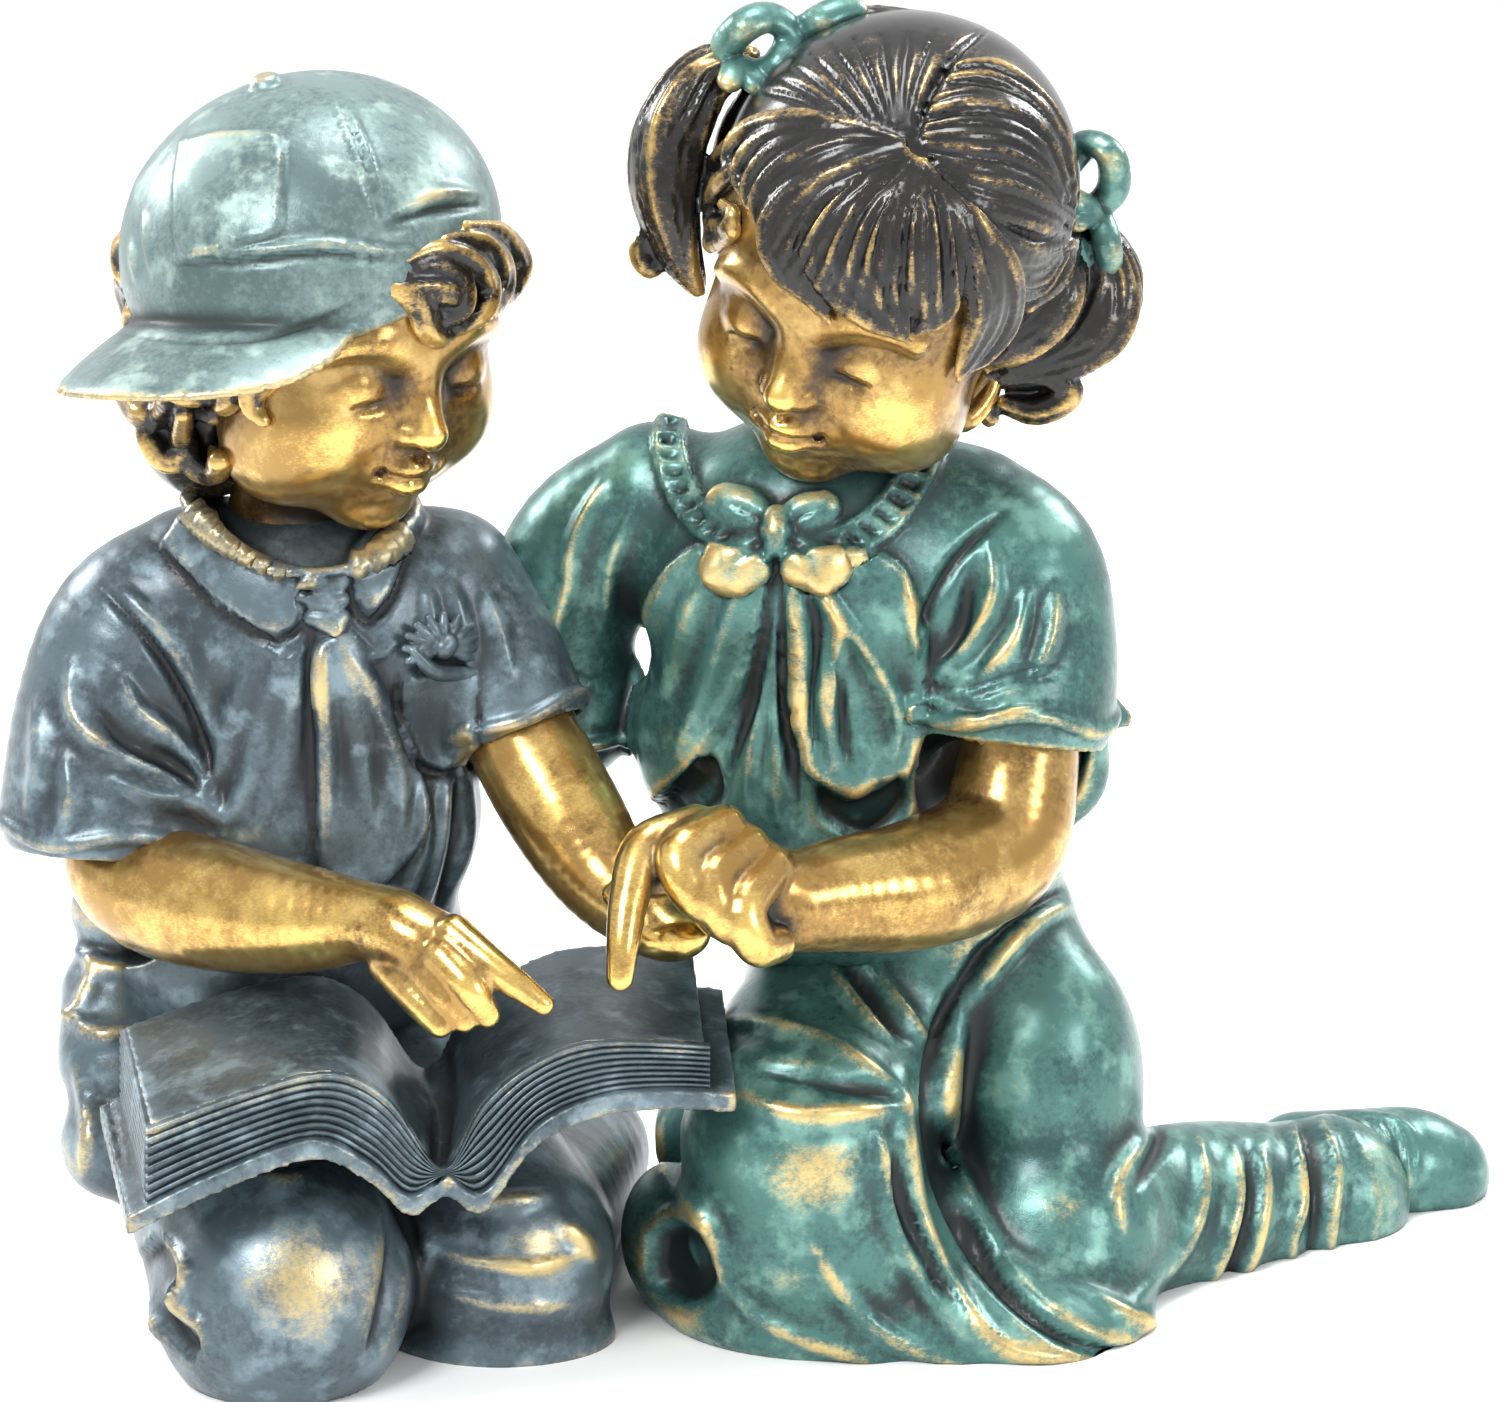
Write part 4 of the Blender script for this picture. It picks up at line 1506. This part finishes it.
def girl_trousers():
    """Hips, thigh, knees and legs, then the long folds of wide cloth."""
    clay = Clay("girl_trousers")
    clay.ball(seen(50, -70, 38), (50, 45, 42), blend=4)
    clay.ball(seen(88, -115, 18), (31, 36, 48), blend=12)
    clay.ball(seen(92, -155, -2), (34, 32, 28), blend=12)
    clay.limb(route((98, -160, 6, 28), (132, -153, 34, 28), (158, -151, 54, 26), (176, -149, 64, 27)),
              blend=10, cut_end=True)
    clay.limb(route((40, -90, 34, 36), (24, -112, 0, 38), (15, -132, -34, 36)), blend=12)
    clay.ball(seen(20, -158, -26), (46, 40, 26), blend=14)
    clay.ball(seen(28, -176, -18), (58, 46, 24), blend=10)
    clay.ball(seen(76, -184, -26), (46, 38, 20), blend=14)
    clay.ball(seen(-24, -160, -10), (15, 22, 22), blend=8)
    clay.ball((20, 58, 30), (50, 34, 34), blend=14)
    clay.ball((48, 54, 68), (50, 38, 44), blend=18)
    trousers = clay.model(2.0)
    back_fold(trousers, [[(-52, -84), (-50, -116), (-44, -150)]], 3.4, -4.0)
    back_fold(trousers, [[(-84, -92), (-66, -118), (-58, -140)], [(-18, -92), (-34, -118), (-38, -140)],
                         [(10, -140), (-14, -156), (-40, -160)], [(-76, -84), (-64, -100), (-58, -114)],
                         [(-26, -84), (-38, -98), (-44, -112)], [(20, -124), (2, -136), (-20, -140)]], 4.0,
                         3.6)
    fold(trousers, [[(60, -86), (55.5, -104), (54.5, -124), (58, -143), (68, -164), (84, -183), (104, -195),
                     (124, -196)]], 3.2, -6.0)
    fold(trousers, [[(46, -112), (47, -133), (50, -155), (61, -178), (77, -194), (102, -199)],
                    [(64, -96), (60, -112), (59, -128), (64, -146), (74, -162)]], 4.0, 4.4)
    fold(trousers, [[(38, -126), (40.7, -142.6), (44, -158), (53, -176), (68, -196)]], 3.0, 3.4)
    fold(trousers, [[(44, -134), (46, -150), (54, -168), (66, -186)]], 2.4, -3.4)
    fold(trousers, [[(17.8, -160), (28, -178), (44, -192), (70, -202)]], 2.6, 2.8)
    fold(trousers, [[(-10, -96), (6, -97), (24, -103), (38, -112), (50, -122)]], 3.0, 2.6)
    fold(trousers, [[(-4, -118), (14, -124), (30, -124), (48, -122)]], 3.6, 3.0)
    fold(trousers, [[(-2, -110), (16, -113), (32, -116), (46, -118)]], 3.0, -2.6)
    fold(trousers, [[(94, -56), (81, -65), (71, -74), (61, -89), (54, -101)]], 2.2, -3.6)
    fold(trousers, [[(98, -60), (86, -66), (76, -76), (66, -90)], [(96, -50), (82, -58), (68, -72)]], 3.0,
         3.0)
    fold(trousers, [[(20, -76), (31, -90), (42, -102)], [(34, -76), (46, -93), (53, -102)]], 2.2, 3.0)
    fold(trousers, [[(27, -78), (38, -92), (47, -102)]], 1.8, -2.4)
    fold(trousers, [[(-27, -126), (-25, -142), (-15, -152), (-8, -164)]], 3.0, 3.0)
    panel(trousers, [(-30, -160), (-22, -156), (-14, -164), (-12, -176), (-20, -180), (-30, -174)], -6.0,
          5.0)
    fold(trousers, [[(-32, -160), (-22, -153), (-12, -160), (-8, -174)],
                    [(-6, -176), (4, -186), (24, -194), (50, -202)]], 2.4, 2.6)
    fold(trousers, [[(120, -118), (118, -130), (110, -144), (112, -160)],
                    [(144.9, -133.4), (147, -149), (143.3, -164), (134, -181)],
                    [(154, -133), (154, -150), (150, -167), (142, -181)],
                    [(134, -128), (136, -146), (130, -164), (116, -180)]], 3.0, 3.0)
    fold(trousers, [[(149.5, -133), (151, -150), (147, -166), (139, -180)],
                    [(122, -120), (123, -132), (116, -146)]], 2.0, -2.6)
    fold(trousers, [[(132, -124), (142, -118), (152, -122), (156, -132)],
                    [(100, -176), (118, -186), (140, -190)]], 2.6, 2.4)
    fold(trousers, [[(158, -118), (164, -132), (166, -148), (162, -164), (166, -180)],
                    [(170, -122), (176, -140), (174, -160), (172, -176)]], 2.4, 2.6)
    fold(trousers, [[(163, -122), (169, -138), (170, -154), (167, -170)]], 1.8, -2.4)
    return trousers


set_in_frame(girl_trousers(), GREEN,
             [(22, -142, 14, 0.8), (14, -174, 11, 0.5), (96, -152, 10, 0.5), (60, -72, 9, 0.5)])

# %% The girl's shoe


def girl_shoe():
    """A shoe with laces, its upper rim and its sole line."""
    clay = Clay("girl_shoe")
    clay.limb(route((165, -140, 70, 18), (184, -140, 78, 19), (197, -140, 82, 19.5), (205, -142, 84, 18)),
              blend=6)
    shoe = clay.model(1.3)
    laces = [[(across, -126 - 0.2 * row), (across + 3.5, -134), (across + 3.8, -146), (across + 1, -156)]
             for row, across in enumerate((178, 183, 188, 193))]
    fold(shoe, laces, 1.2, 1.8)
    fold(shoe, [[(176, -122), (186, -124), (196, -127), (200, -134), (198, -150)]], 1.6, 1.2)
    fold(shoe, [[(180, -160), (196, -163), (212, -158), (222, -146)]], 1.4, -1.2)
    return shoe


set_in_frame(girl_shoe(), GREEN)

# %% [markdown]
# ## The studio
#
# The casting stands on a plain white floor in soft light, seen from the front and a little above. The
# floor is large enough to fill the view.

# %% Floor, lights and camera

bpy.ops.object.select_all(action="DESELECT")
bpy.ops.mesh.primitive_plane_add(size=8, location=(0, 0, 0))
floor = bpy.context.object
floor.name = "floor"
plain = bpy.data.materials.new("white floor")
plain.use_nodes = True
plain.node_tree.nodes["Principled BSDF"].inputs["Base Color"].default_value = (0.86, 0.86, 0.86, 1)
plain.node_tree.nodes["Principled BSDF"].inputs["Roughness"].default_value = 0.6
floor.data.materials.append(plain)

AIM = Vector((-MIDDLE[0] * UNIT, -MIDDLE[1] * UNIT, VIEW_CENTRE * UNIT))
SENSOR_WIDTH = 36
VIEW_WIDTH = 0.45


def light(name, place, size, power, colour=(1, 1, 1)):
    """A square area light that looks at the middle of the casting."""
    data = bpy.data.lights.new(name, "AREA")
    data.energy = power
    data.size = size
    data.color = colour
    lamp = bpy.data.objects.new(name, data)
    lamp.location = place
    lamp.rotation_euler = (AIM - Vector(place)).to_track_quat("-Z", "Y").to_euler()
    bpy.context.scene.collection.objects.link(lamp)


light("key", (-0.8, -1.2, 1.5), 0.6, 30)
light("fill", (1.3, -1.2, 0.8), 0.5, 11)
light("rim", (1.1, 0.9, 1.1), 0.5, 14)
light("rim left", (-1.2, 0.7, 0.9), 0.5, 14)
light("top", (0.1, 0.1, 1.6), 0.6, 16)

world = bpy.data.worlds.new("studio")
bpy.context.scene.world = world
world.use_nodes = True
world.node_tree.nodes["Background"].inputs["Color"].default_value = (1.0, 1.0, 1.0, 1)
world.node_tree.nodes["Background"].inputs["Strength"].default_value = 1.0
bpy.context.scene.view_settings.view_transform = "Standard"

camera_data = bpy.data.cameras.new("camera")
camera_data.lens = SENSOR_WIDTH * VIEW_DISTANCE * UNIT / VIEW_WIDTH
camera = bpy.data.objects.new("camera", camera_data)
camera.location = AIM + Vector((0, -LIFT, LEAN)) * VIEW_DISTANCE * UNIT
camera.rotation_euler = (AIM - camera.location).to_track_quat("-Z", "Y").to_euler()
bpy.context.scene.collection.objects.link(camera)
bpy.context.scene.camera = camera
